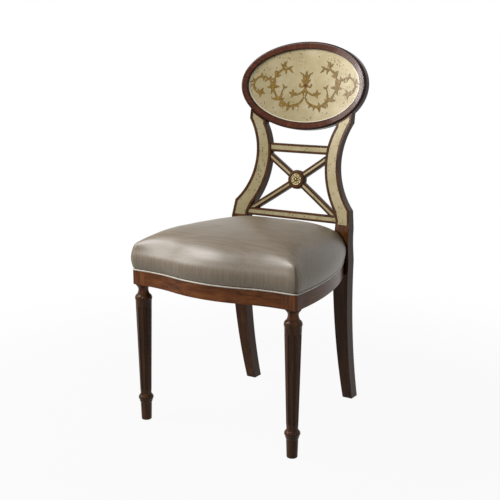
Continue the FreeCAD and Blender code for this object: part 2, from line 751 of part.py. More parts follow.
# Half of the serpentine front: an arc out of the block and half of the middle arc, as three edges
def ogee_edges(front, scale=1, middle=0):
    run = (half_spacing - half_block) * scale
    bow = size("frontBow") * scale
    radius = (run ** 2 + bow ** 2) / (4 * bow)
    turn = math.asin(run / 2 / radius)

    def end_point(angle, sign):
        x = sign * (run - radius * math.sin(angle))
        return V(x, front - radius * (1 - math.cos(angle)), 0)

    crown = V(0, front - bow, 0)
    return [
        Part.Arc(end_point(0, -1), end_point(turn / 2, -1), end_point(turn, -1)).toShape(),
        Part.Arc(end_point(turn, -1), crown, end_point(turn, 1)).toShape(),
        Part.Arc(end_point(turn, 1), end_point(turn / 2, 1), end_point(0, 1)).toShape(),
    ]


def extrude_between(face, low, high):
    lifted = face.copy()
    lifted.translate(V(0, 0, low))
    return lifted.extrude(V(0, 0, high - low))


rail_bottom = size("railBottom")
rail_top = rail_bottom + size("railHeight")
ledge = rail_bottom + size("coverLedge")


def front_rail_face(outer, inner):
    near = ogee_edges(outer)
    far = ogee_edges(inner)
    ends = [Part.makeLine(near[0].Vertexes[0].Point, far[0].Vertexes[0].Point)]
    ends.append(Part.makeLine(near[-1].Vertexes[-1].Point, far[-1].Vertexes[-1].Point))
    return Part.Face(Part.Wire(Part.__sortEdges__(near + far + ends)))


# Serpentine front rail, rebated above the show face for the upholstery
front_rail = extrude_between(front_rail_face(front_face, rail_inner_front), rail_bottom, ledge)
front_top = front_rail_face(front_face + size("coverRebate"), rail_inner_front)
front_rail = front_rail.fuse(extrude_between(front_top, ledge, rail_top)).removeSplitter()
for peg in (front_peg(), mirrored(front_peg())):
    front_rail = front_rail.fuse(peg)
formed("front_seat_rail", front_rail)


# Straight back rail between the posts
reach = post_inner_seat + size("tenonShoulder")
low_bar = Part.makeBox(
    2 * reach, size("railThickness"), size("coverLedge"), V(-reach, back_rail_front, rail_bottom)
)
high_bar = Part.makeBox(
    2 * reach, size("railThickness") - size("coverRebate"), rail_top - ledge, V(-reach, back_rail_front, ledge)
)
back_rail = low_bar.fuse(high_bar).removeSplitter()
for blank in plain_posts:
    back_rail = back_rail.cut(blank)
back_rail_body = back_rail
for peg in (back_peg_box(), mirrored(back_peg_box())):
    back_rail = back_rail.fuse(peg)
formed("back_seat_rail", back_rail)

# Bowed side rail between two arcs about one centre
def side_rail_face(outer_back):
    radius = size("sideBowRadius")
    centre = V(side_face - radius, half_block, 0)
    far = size("postLegBack") + size("tenonOverlap")
    run = math.asin((far - half_block) / (radius - size("railThickness")))

    def arc(arc_radius):
        points = [centre + V(math.cos(turn), math.sin(turn), 0) * arc_radius for turn in (0, run / 2, run)]
        return Part.Arc(*points).toShape()

    outer, inner = arc(radius - outer_back), arc(radius - size("railThickness"))
    ends = [Part.makeLine(outer.Vertexes[i].Point, inner.Vertexes[i].Point) for i in (0, 1)]
    return Part.Face(Part.Wire(Part.__sortEdges__([outer, inner] + ends)))


side_rail = extrude_between(side_rail_face(0), rail_bottom, ledge)
side_top = extrude_between(side_rail_face(size("coverRebate")), ledge, rail_top)
side_rail = side_rail.fuse(side_top).removeSplitter().cut(post_plain).cut(back_rail_body)
side_body = side_rail
side_rail = side_rail.fuse(side_front_peg()).fuse(side_back_peg())
formed("side_seat_rail_left", side_rail)
formed("side_seat_rail_right", mirrored(side_rail))

# Corner blocks glued and screwed inside the four corners
block_bottom = rail_bottom + size("blockDrop")
block_top = block_bottom + size("blockHeight")
leg_inner_x = half_spacing - half_block
front_sum = leg_inner_x - half_block - size("blockReach")
rear_sum = post_inner_seat + size("postLegBack") - 2 * size("blockReach")
leg_block = Part.makeBox(
    size("legBlock"), size("legBlock"), size("railHeight"), V(leg_inner_x, -half_block, rail_bottom)
)
front_triangle = [
    V(front_sum + front_face, front_face, 0), V(side_face, front_face, 0),
    V(side_face, side_face - front_sum, 0),
]
rear_triangle = [
    V(rear_sum - back_rail_rear, back_rail_rear, 0), V(side_face, back_rail_rear, 0),
    V(side_face, rear_sum - side_face, 0),
]


# Screw with its head at a point on the block's slanted face, driven along a direction
def screw(head, direction, grow=0):
    shank = Part.makeCylinder(size("screwRadius") + grow, size("screwLength") + grow, head, direction)
    cap = Part.makeCylinder(size("screwHeadRadius") + grow, size("screwHeadHeight") + grow, head, direction)
    return shank.fuse(cap)


middle_rise = (block_bottom + block_top) / 2
stagger = size("screwStagger") / 2
high_rise = middle_rise + stagger
low_rise = middle_rise - stagger
side_x = leg_inner_x - size("frontScrewSide")
back_y = half_block + size("frontScrewBack")
rear_x = post_inner_seat - size("rearScrewSide")
rear_y = size("postLegBack") - size("rearScrewFront")
sunk = size("screwHeadHeight")
screw_seats = {
    "front": [
        (V(side_x, side_x - front_sum - sunk, high_rise), V(0, -1, 0)),
        (V(back_y + front_sum + sunk, back_y, low_rise), V(1, 0, 0)),
    ],
    "rear": [
        (V(rear_x, rear_sum - rear_x + sunk, high_rise), V(0, 1, 0)),
        (V(rear_sum - rear_y + sunk, rear_y, low_rise), V(1, 0, 0)),
    ],
}
corners = {
    "front": (front_triangle, V(leg_inner_x, half_block, middle_rise)),
    "rear": (rear_triangle, V(post_inner_seat, size("postLegBack"), middle_rise)),
}
screws, bores = [], []
for word, (triangle, corner) in corners.items():
    block = extrude_between(polygon_face(triangle), block_bottom, block_top)
    for neighbour in (leg_block, front_rail, side_body, post_plain, back_rail_body):
        block = block.cut(neighbour)
    block = min(block.Solids, key=lambda solid: solid.CenterOfMass.distanceToPoint(corner))
    for head, direction in screw_seats[word]:
        block = block.cut(screw(head, direction, gap))
        access = Part.makeCylinder(size("screwHeadRadius") + gap, size("overrun"), head, direction * -1)
        block = block.cut(access)
        screws += [screw(head, direction), mirrored(screw(head, direction))]
        bores.append(screw(head, direction, gap))
    formed(f"{word}_corner_block_left", block)
    formed(f"{word}_corner_block_right", mirrored(block))
formed("corner_block_screws", Part.makeCompound(screws))
bores += [mirrored(bore) for bore in bores]
for part in parts:
    if "seat_rail" in part.Label:
        part.Shape = part.Shape.cut(bores)

# Webbing tacked across the rails, the crosswise strips over the lengthwise ones
crown_middle = size("postLegBack") * size("crownMiddleShare")
strips = []
thick = size("webbingThickness")
web = size("webbingWidth")
inset = size("coverRebate") + size("webbingLap") / 4
pitch = (post_inner_seat - web / 2) / size("webbingCount") * 2
for step in range(int(size("webbingCount"))):
    x = (step - (size("webbingCount") - 1) / 2) * pitch
    start = front_face + inset
    strips.append(Part.makeBox(web, back_rail_rear - inset - start, thick, V(x - web / 2, start, rail_top)))
    y = crown_middle + x
    half = side_outer(y + web / 2) - inset
    strips.append(Part.makeBox(2 * half, web, thick, V(-half, y - web / 2, rail_top + thick)))
formed("seat_webbing", Part.makeCompound(strips))


# Outline of the seat at one level, pushed out past the rails and drawn in towards its middle
def seat_section(level, out, scale=1, corner=size("cushionCorner")):
    bend = (corner + out) * scale
    middle = crown_middle

    def at(x, y):
        return V(x * scale, middle + (y - middle) * scale, 0)

    front = at(0, front_face - out).y
    side = (side_face + out) * scale
    ogee = ogee_edges(front, scale)
    left_end = ogee[-1].Vertexes[-1].Point
    turn_start = V(side - bend, front, 0)
    turn_end = V(side, front + bend, 0)
    side_start = V(side, at(0, half_block).y, 0)
    radius = (size("sideBowRadius") + out) * scale
    centre = V(side - radius, side_start.y, 0)
    rear = at(0, back_rail_rear + out).y
    rear_bend = bend
    rear_turn = math.asin((rear - rear_bend - centre.y) / radius)
    half_turn = rear_turn / 2
    side_middle = centre + V(math.cos(half_turn), math.sin(half_turn), 0) * radius
    side_end = centre + V(math.cos(rear_turn), math.sin(rear_turn), 0) * radius
    rear_corner = V(side_end.x - rear_bend, rear, 0)
    rear_middle = V(side_end.x - rear_bend * (1 - round_share), rear - rear_bend * (1 - round_share), 0)
    turn_middle = V(side - bend * (1 - round_share), front + bend * (1 - round_share), 0)
    half_edges = [
        Part.makeLine(left_end, turn_start),
        Part.Arc(turn_start, turn_middle, turn_end).toShape(),
        Part.makeLine(turn_end, side_start),
        Part.Arc(side_start, side_middle, side_end).toShape(),
        Part.Arc(side_end, rear_middle, rear_corner).toShape(),
    ]
    other = [mirrored(edge) for edge in reversed(half_edges)]
    rear_line = [Part.makeLine(rear_corner, V(-rear_corner.x, rear, 0))]
    wire = Part.Wire(ogee + half_edges + rear_line + other)
    wire.translate(V(0, 0, level))
    return wire


cover_bottom = ledge + 2 * size("weltRadius") + size("softGap")
crown_base = rail_bottom + size("coverLedge") + size("coverShoulderRise")
crown_shares = [(0.965, 0.16), (0.9, 0.4), (0.78, 0.655), (0.6, 0.855), (0.36, 0.972), (0.14, 1)]


# The cushion's outside, drawn in by a thickness
def cushion(inset):
    levels = [
        (cover_bottom, size("coverLow")),
        (ledge + size("coverBulgeRise") / 2, (size("coverLow") + size("coverBulge")) / 2 + size("coverLow")),
        (ledge + size("coverBulgeRise"), size("coverBulge")),
        (crown_base, size("coverLow")),
    ]
    sides = [seat_section(level, out - inset) for level, out in levels]
    crown = sides[-1:]
    for scale, rise in crown_shares:
        top = crown_base + size("crownHeight") * rise - inset
        crown.append(seat_section(top, size("coverLow") - inset, scale))
    return Part.makeLoft(sides, True, False).fuse(Part.makeLoft(crown, True, False))


def underside(solid):
    return min(solid.Faces, key=lambda face: face.CenterOfMass.z)


# A solid hollowed from below by a smaller one that stands on the same level
def hollowed(outer, inner):
    faces = [Part.Face([underside(outer).OuterWire, underside(inner).OuterWire])]
    for solid in (outer, inner):
        faces += [face for face in solid.Faces if not face.isSame(underside(solid))]
    shell = Part.makeShell(faces)
    shell.sewShape()
    solid = Part.makeSolid(shell)
    if solid.Volume < 0:
        solid.reverse()
    return solid


post_room = post_blank(size("softGap"))
rooms = [post_room, mirrored(post_room)]
cover = hollowed(cushion(0), cushion(size("coverThickness")))
frame_top = rail_top + 2 * thick + size("softGap")
block_corner = size("legBlockRound") + size("coverRebate")
frame_face = Part.Face(seat_section(0, size("softGap") - size("coverRebate"), corner=block_corner))
frame_block = extrude_between(frame_face, cover_bottom, frame_top)
padding = hollowed(cushion(size("coverThickness") + size("softGap")), frame_block)
for room in rooms:
    cover = cover.cut(room)
    padding = padding.cut(room)
formed("seat_cover", max(cover.Solids, key=lambda solid: solid.Volume))
formed("seat_pad", max(padding.Solids, key=lambda solid: solid.Volume))

# Piping on the ledge below the cover, round the front and along the back
welt_rise = ledge + size("weltRadius")
welt_out = size("weltRadius") + gap - size("coverRebate")
welt_path = seat_section(welt_rise, welt_out, corner=block_corner)
front_edges = [edge for edge in welt_path.Edges if edge.CenterOfMass.y < size("postLegBack")]
front_edges = Part.Wire(Part.__sortEdges__(front_edges))
start = front_edges.OrderedVertexes[0].Point
tangent = front_edges.OrderedEdges[0].tangentAt(front_edges.OrderedEdges[0].FirstParameter)
ring_wire = Part.Wire(Part.makeCircle(size("weltRadius"), start, tangent))
front_welt = front_edges.makePipeShell([ring_wire], True, False)
rear_y = back_rail_rear - size("coverRebate") + size("weltRadius")
rear_reach = post_inner_seat + size("tenonShoulder")
rear_welt = Part.makeCylinder(size("weltRadius"), 2 * rear_reach, V(-rear_reach, rear_y, welt_rise), V(1, 0, 0))
for room in rooms:
    front_welt = front_welt.cut(room)
    rear_welt = rear_welt.cut(room)
front_welt = max(front_welt.Solids, key=lambda solid: solid.Volume)
formed("seat_welt", Part.makeCompound([front_welt, rear_welt.Solids[0]]))

# Thin cloth tacked under the rails
under = Part.Face(seat_section(0, -size("dustCoverInset")))
dust = extrude_between(under, rail_bottom - size("dustCoverThickness"), rail_bottom)
for room in rooms:
    dust = dust.cut(room)
ring_room = Part.makeCylinder(half_block + size("softGap"), rail_bottom, V(half_spacing, 0, 0))
dust = dust.cut(ring_room).cut(mirrored(ring_room))
formed("dust_cover", max(dust.Solids, key=lambda solid: solid.Volume))

# Turned roundel at the crossing, its front facing the sitter
roundel_front = size("latticeRecess") - size("roundelProud")
roundel_deep = size("latticeDepth") + size("roundelProud")
roundel_seat = FreeCAD.Placement(
    V(0, roundel_front + roundel_deep, cross_rise), FreeCAD.Rotation(V(1, 0, 0), 90)
)
roundel = new_body("RoundelTurning", back_place.multiply(roundel_seat))
profile = new_sketch(roundel, "RoundelProfile", "XZ_Plane")
edge_round = size("roundelProud") + size("latticeRound")
seat_floor = roundel_deep - size("roundelRecess")
seat_radius = size("rosetteRadius") + size("rosetteRoom")
pin_room = size("rosettePin") + gap
pin_floor = seat_floor - size("rosettePinLength") - gap
rim_low = (size("roundelRadius"), roundel_deep - edge_round)
rim_top = (size("roundelRadius") - edge_round, roundel_deep)
draw_chain(profile, (0, 0), [
    (size("roundelRadius"), 0),
    rim_low,
    (bulge(rim_low, rim_top, -quarter_round_share), rim_top),
    (seat_radius, roundel_deep),
    (seat_radius, seat_floor),
    (pin_room, seat_floor),
    (pin_room, pin_floor),
    (0, pin_floor),
    (0, 0),
])
revolve(roundel, profile, "Revolution", "V_Axis")
doc.recompute()
arm_sockets = []
for direction in (1, -1):
    socket = on_back(arm_peg(direction, gap, outer=False))
    arm_sockets += [socket, mirrored(socket)]
sockets = helper("ArmSockets", Part.makeCompound(arm_sockets))
piece(boolean("Cut", "roundel", roundel, sockets), "roundel")

# Cast brass rosette: a rimmed disc with a ring of petals, a boss and a pin
rosette = new_body("rosette", back_place.multiply(roundel_seat).multiply(
    FreeCAD.Placement(V(0, 0, seat_floor), FreeCAD.Rotation())
))
cast = new_sketch(rosette, "RosetteProfile", "XZ_Plane")
base = size("rosetteBase")
rim_out = (size("rosetteRadius"), base)
rim_in = (size("rosetteRadius") - 2 * size("rosetteRim"), base)
boss_foot = (size("rosetteBoss"), base)
boss_top = (0, base + size("rosetteBoss"))
draw_chain(cast, (0, -size("rosettePinLength")), [
    (size("rosettePin"), -size("rosettePinLength")),
    (size("rosettePin"), 0),
    (size("rosetteRadius"), 0),
    rim_out,
    ((size("rosetteRadius") - size("rosetteRim"), base + size("rosetteRim")), rim_in),
    boss_foot,
    (bulge(boss_foot, boss_top, -quarter_round_share), boss_top),
    (0, -size("rosettePinLength")),
])
revolve(rosette, cast, "Revolution", "V_Axis")
leaf = new_sketch(rosette, "PetalOutline", "XY_Plane", "Sizes.rosetteBase / 2")
leaf_root = (size("rosetteBoss") / 2, 0)
leaf_tip = (size("rosetteRadius") - size("rosetteRim"), 0)
leaf_share = size("petalWidth") / 2 / (leaf_tip[0] - leaf_root[0])
draw_chain(leaf, leaf_root, [
    (bulge(leaf_root, leaf_tip, -leaf_share), leaf_tip),
    (bulge(leaf_tip, leaf_root, -leaf_share), leaf_root),
])
doc.recompute()
petal = pad(rosette, leaf, "Sizes.rosetteBase / 2 + Sizes.petalHeight")
petal.setExpression("TaperAngle", "-Sizes.petalSlope")
doc.recompute()
repeat_round(rosette, petal, "Sizes.petalCount")
piece(rosette, "rosette")
doc.recompute()

# Every object has to be sound before anything is written
for obj in doc.Objects:
    if any(state in obj.State for state in ("Invalid", "Error")):
        raise RuntimeError(f"{obj.Label} did not build: {obj.State}")
for obj in parts:
    if obj.Shape.isNull() or not obj.Shape.isValid():
        raise RuntimeError(f"{obj.Label} has no sound shape")

# The origin moves to the floor, under the middle of the whole chair
whole = Part.makeCompound([obj.Shape for obj in parts]).optimalBoundingBox()
shift = FreeCAD.Placement(V(0, -whole.Center.y, -whole.ZMin), FreeCAD.Rotation())
os.makedirs("parts", exist_ok=True)
for obj in parts:
    shape = obj.Shape.copy()
    shape.transformShape(shift.toMatrix())
    shape.exportStep(f"parts/{obj.Label}.step")
print(f"{len(parts)} pieces, origin moved by {-whole.Center.y:.3f} mm")
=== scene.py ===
import math

import bmesh
import bpy
from mathutils import Matrix, Vector, noise


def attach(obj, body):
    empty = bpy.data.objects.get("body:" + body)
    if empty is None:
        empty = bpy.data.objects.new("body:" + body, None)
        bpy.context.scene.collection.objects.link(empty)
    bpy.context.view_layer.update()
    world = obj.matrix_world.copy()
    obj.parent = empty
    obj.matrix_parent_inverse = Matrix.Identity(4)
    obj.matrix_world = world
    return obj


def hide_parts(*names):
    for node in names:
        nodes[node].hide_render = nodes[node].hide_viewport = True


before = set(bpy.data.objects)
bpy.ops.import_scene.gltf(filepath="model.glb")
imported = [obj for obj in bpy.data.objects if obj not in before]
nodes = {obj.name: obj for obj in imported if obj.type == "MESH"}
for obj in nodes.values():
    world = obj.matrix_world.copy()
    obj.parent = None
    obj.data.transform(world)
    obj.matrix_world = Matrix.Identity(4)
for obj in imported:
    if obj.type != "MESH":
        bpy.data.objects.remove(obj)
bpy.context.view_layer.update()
print("frame loaded:", len(nodes), "nodes")

# The back's own frame in metres: x across, rise up the rake, depth away from the sitter
backFrame = {
    "hollowRadius": 0.830,
    "rake": math.radians(10.1),
    "behindOrigin": 0.1629,  # where the back's face crosses its datum height
    "datumHeight": 0.500,
    "ovalRise": 0.3625,
    "sightHalfWidth": 0.1724,
    "sightHalfHeight": 0.0996,
    "ringHalfWidth": 0.1924,
    "ringHalfHeight": 0.1196,
}


def onBack(x, rise, depth):
    radius = backFrame["hollowRadius"]
    y = math.sqrt(radius ** 2 - x ** 2) - radius + depth
    cos, sin = math.cos(backFrame["rake"]), math.sin(backFrame["rake"])
    return Vector((
        x,
        backFrame["behindOrigin"] + y * cos + rise * sin,
        backFrame["datumHeight"] - y * sin + rise * cos,
    ))


def smoothStep(low, high, value):
    share = min(max((value - low) / (high - low), 0.0), 1.0)
    return share * share * (3 - 2 * share)


# Colours are written as sRGB hex and turned to linear here
def linear(hexText):
    channels = [int(hexText[i:i + 2], 16) / 255 for i in (1, 3, 5)]
    return [c / 12.92 if c <= 0.04045 else ((c + 0.055) / 1.055) ** 2.4 for c in channels] + [1]


# Adds a node: inputs holds values or (node, output) links, settings are the node's own properties
def add(tree, kind, inputs=None, **settings):
    node = tree.nodes.new(kind)
    for name, value in settings.items():
        setattr(node, name, value)
    for name, value in (inputs or {}).items():
        if isinstance(value, tuple) and isinstance(value[0], bpy.types.Node):
            tree.links.new(value[0].outputs[value[1]], node.inputs[name])
        else:
            node.inputs[name].default_value = value
    return node


# Stops of a colour ramp: each a place with a hex colour or a grey level
def setStops(node, stops):
    elements = node.color_ramp.elements
    while len(elements) < len(stops):
        elements.new(0.5)
    for element, (place, colour) in zip(elements, stops):
        element.position = place
        element.color = linear(colour) if isinstance(colour, str) else (colour, colour, colour, 1)
    return node


def startMaterial(name):
    material = bpy.data.materials.new(name)
    material.use_nodes = True
    material.node_tree.nodes.clear()
    return material, material.node_tree


def endMaterial(tree, shader):
    out = add(tree, "ShaderNodeOutputMaterial")
    tree.links.new(shader.outputs[0], out.inputs["Surface"])


# How far a point lies from the oval's middle along the rake: 1 on an ellipse of these half sizes
def ovalReach(tree, place, halfWidth, halfHeight):
    centre = tuple(onBack(0, backFrame["ovalRise"], 0))
    local = add(tree, "ShaderNodeVectorMath", {0: (place, "Object"), 1: centre}, operation="SUBTRACT")
    plumb = add(tree, "ShaderNodeMapping", {"Vector": (local, 0), "Rotation": (backFrame["rake"], 0, 0)})
    scale = (1 / halfWidth, 0, 1 / halfHeight)
    oval = add(tree, "ShaderNodeVectorMath", {0: (plumb, 0), 1: scale}, operation="MULTIPLY")
    return plumb, add(tree, "ShaderNodeVectorMath", {0: (oval, 0)}, operation="LENGTH")


mahogany = {
    "warmStain": ("#2e170b", "#66391b", "#855029"),  # dark, middle and light of the figure
    "bandStain": ("#3a190e", "#522713", "#68371d"),
    "deepStain": ("#2e170a", "#492a11", "#613d1c"),
    "legStain": ("#2b1608", "#472a11", "#5d3c1c"),
    "figureMm": 16,  # width of the broad light and dark figure
    "figureSway": 0.8,
    "bandMm": 9,  # width of one crossbanded strip of veneer
    "streakMm": 5,
    "streakShare": 0.45,  # how much of the colour the streaks make, beside the figure
    "bandStreakShare": 0.6,
    "stainStops": (0.34, 0.5, 0.68),
    "poreMm": 0.9,  # real pores are near 0.2 mm; drawn coarser so that they show
    "poreStops": [(0.3, 0.55), (0.5, 1.0)],
    "poreShare": 0.5,
    "poreBump": 0.05,
    "poreDepth": 0.0003,
    "specular": 0.06,  # the grain is filled and waxed, so it shines less than bare varnish
    "roughness": 0.28,
    "gloss": 0.12,  # weight of the polish
    "legGloss": 0.18,
    "ringGloss": 0.2,
    "coatRoughness": 0.1,
    "edgeRound": 0.0011,
    # painted shade: how far, how dark and how strongly corners, flutes and recesses are darkened
    "paintedShadeReach": 0.005,
    "paintedShadeStops": [(0.6, 0.08), (0.97, 1.0)],
    "paintedShadeShare": 0.9,
    "blockFoot": 0.345,  # height where a front leg turns from round to square
    "blockBlend": 0.004,
    # painted shade along the ring's sight edge and round its outside
    "sightPaintedShade": {"From Min": 1.005, "From Max": 1.035, "To Min": 0.22},  # in shares of the sight size
    "rimPaintedShade": {"From Min": 0.985, "From Max": 0.94, "To Min": 0.3},  # in shares of the ring's outside
}


# Mahogany, stained, grain-filled and French polished: warm figure under a thin gloss, edges
# rubbed round, and painted shade darkening the corners and flutes
def polishedMahogany(
    name, stain, squash, turn=0.0, crossband=False, warmAbove=None, gloss=mahogany["gloss"],
):
    material, tree = startMaterial(name)
    place = add(tree, "ShaderNodeTexCoord")
    if crossband:  # grain runs outwards from the middle of the oval
        halfWidth, halfHeight = backFrame["sightHalfWidth"], backFrame["sightHalfHeight"]
        plumb, sight = ovalReach(tree, place, halfWidth, halfHeight)
        split = add(tree, "ShaderNodeSeparateXYZ", {"Vector": (plumb, 0)})
        tall = add(tree, "ShaderNodeMath", {0: (split, "Z"), 1: halfWidth / halfHeight}, operation="MULTIPLY")
        angle = add(tree, "ShaderNodeMath", {0: (tall, 0), 1: (split, "X")}, operation="ARCTAN2")
        around = add(tree, "ShaderNodeMath", {0: (angle, 0), 1: halfWidth}, operation="MULTIPLY")
        outward = add(tree, "ShaderNodeVectorMath", {0: (plumb, 0)}, operation="LENGTH")
        turned = add(
            tree, "ShaderNodeCombineXYZ", {"X": (around, 0), "Y": (split, "Y"), "Z": (outward, "Value")},
        )
    else:
        turned = add(tree, "ShaderNodeMapping", {"Vector": (place, "Object"), "Rotation": (0, turn, 0)})
    grain = add(tree, "ShaderNodeMapping", {"Vector": (turned, 0), "Scale": squash})
    figure = add(
        tree, "ShaderNodeTexNoise",
        {"Vector": (grain, 0), "Scale": 1000 / mahogany["bandMm" if crossband else "figureMm"], "Detail": 3.0,
         "Distortion": 0.0 if crossband else mahogany["figureSway"]},
    )
    streaks = add(
        tree, "ShaderNodeTexNoise",
        {"Vector": (grain, 0), "Scale": 1000 / mahogany["streakMm"], "Detail": 4.0, "Roughness": 0.6},
    )
    pores = add(
        tree, "ShaderNodeTexNoise", {"Vector": (grain, 0), "Scale": 1000 / mahogany["poreMm"], "Detail": 2.0},
    )
    mixed = add(
        tree, "ShaderNodeMixRGB",
        {"Fac": mahogany["bandStreakShare" if crossband else "streakShare"],
         "Color1": (figure, "Fac"), "Color2": (streaks, "Fac")},
    )
    wood = setStops(
        add(tree, "ShaderNodeValToRGB", {"Fac": (mixed, "Color")}),
        list(zip(mahogany["stainStops"], mahogany[stain])),
    )
    if warmAbove:  # the squared block of a leg is stained like the rails that it joins
        warmed = setStops(
            add(tree, "ShaderNodeValToRGB", {"Fac": (mixed, "Color")}),
            list(zip(mahogany["stainStops"], mahogany["warmStain"])),
        )
        height = add(tree, "ShaderNodeSeparateXYZ", {"Vector": (place, "Object")})
        blend = mahogany["blockBlend"]
        high = add(
            tree, "ShaderNodeMapRange",
            {"Value": (height, "Z"), "From Min": warmAbove - blend, "From Max": warmAbove + blend},
            clamp=True,
        )
        wood = add(
            tree, "ShaderNodeMixRGB",
            {"Fac": (high, 0), "Color1": (wood, "Color"), "Color2": (warmed, "Color")},
        )
    poreShade = setStops(add(tree, "ShaderNodeValToRGB", {"Fac": (pores, "Fac")}), mahogany["poreStops"])
    pored = add(
        tree, "ShaderNodeMixRGB",
        {"Fac": mahogany["poreShare"], "Color1": (wood, "Color"), "Color2": (poreShade, "Color")},
        blend_type="MULTIPLY",
    )
    if crossband:  # painted shade at the sight edge and round the outside
        inner = add(
            tree, "ShaderNodeMapRange", {"Value": (sight, "Value"), **mahogany["sightPaintedShade"]}, clamp=True,
        )
        outside = ovalReach(tree, place, backFrame["ringHalfWidth"], backFrame["ringHalfHeight"])[1]
        outer = add(
            tree, "ShaderNodeMapRange", {"Value": (outside, "Value"), **mahogany["rimPaintedShade"]}, clamp=True,
        )
        shade = add(tree, "ShaderNodeMath", {0: (inner, 0), 1: (outer, 0)}, operation="MULTIPLY")
        pored = add(
            tree, "ShaderNodeMixRGB", {"Fac": 1.0, "Color1": (pored, "Color"), "Color2": (shade, 0)},
            blend_type="MULTIPLY",
        )
    # painted shade: the colour is darkened where ambient occlusion finds corners, flutes and recesses
    corner = add(tree, "ShaderNodeAmbientOcclusion", {"Distance": mahogany["paintedShadeReach"]}, samples=6)
    paintedShade = setStops(add(tree, "ShaderNodeValToRGB", {"Fac": (corner, "AO")}), mahogany["paintedShadeStops"])
    surfaceColour = add(
        tree, "ShaderNodeMixRGB",
        {"Fac": mahogany["paintedShadeShare"], "Color1": (pored, "Color"), "Color2": (paintedShade, "Color")},
        blend_type="MULTIPLY",
    )
    edges = add(tree, "ShaderNodeBevel", {"Radius": mahogany["edgeRound"]}, samples=4)
    bump = add(
        tree, "ShaderNodeBump",
        {"Height": (pores, "Fac"), "Strength": mahogany["poreBump"], "Distance": mahogany["poreDepth"],
         "Normal": (edges, 0)},
    )
    shader = add(
        tree, "ShaderNodeBsdfPrincipled",
        {
            "Base Color": (surfaceColour, "Color"), "Roughness": mahogany["roughness"], "IOR": 1.5,
            "Specular IOR Level": mahogany["specular"], "Coat Weight": gloss,
            "Coat Roughness": mahogany["coatRoughness"], "Normal": (bump, 0), "Coat Normal": (edges, 0),
        },
    )
    endMaterial(tree, shader)
    return material


creamPaint = {
    "shade": "#8a7d56",
    "body": "#988b68",
    "bloom": "#a79b7e",
    "leaf": 0.22,  # share of the metal leaf that shows through the paint
    "leafRoughness": 0.4,
    "cloudMm": 60,
    "cloudStops": (0.25, 0.5, 0.75),
    "fleck": "#54471f",
    "fleckMm": 6.0,
    "fleckRadius": 0.34,  # share of the spacing
    "fleckEdge": 0.7,  # share of the radius where a fleck is full
    "fleckWander": 0.006,
    "wanderMm": 10 / 3,
    "fleckPatchMm": 24,
    "patchStops": [(0.51, 0.0), (0.56, 1.0)],
    "rimFlecks": {"From Min": 0.4, "From Max": 0.75, "To Min": 0.2, "To Max": 1.0},
    # painted highlight: a thin bright line round the glass inside the frame, left out at the top
    "paintedHighlight": "#efe6d2",
    "paintedHighlightLine": [(0.972, 0.0), (0.978, 0.8), (0.984, 0.8), (0.990, 0.0)],  # in shares of the sight size
    "paintedHighlightFade": {"From Min": 0.06, "From Max": 0.01},  # rise where the line has gone and where it is full
    "ior": 1.45,
    "coatRoughness": 0.2,
    "coatWeight": 0.35,
}


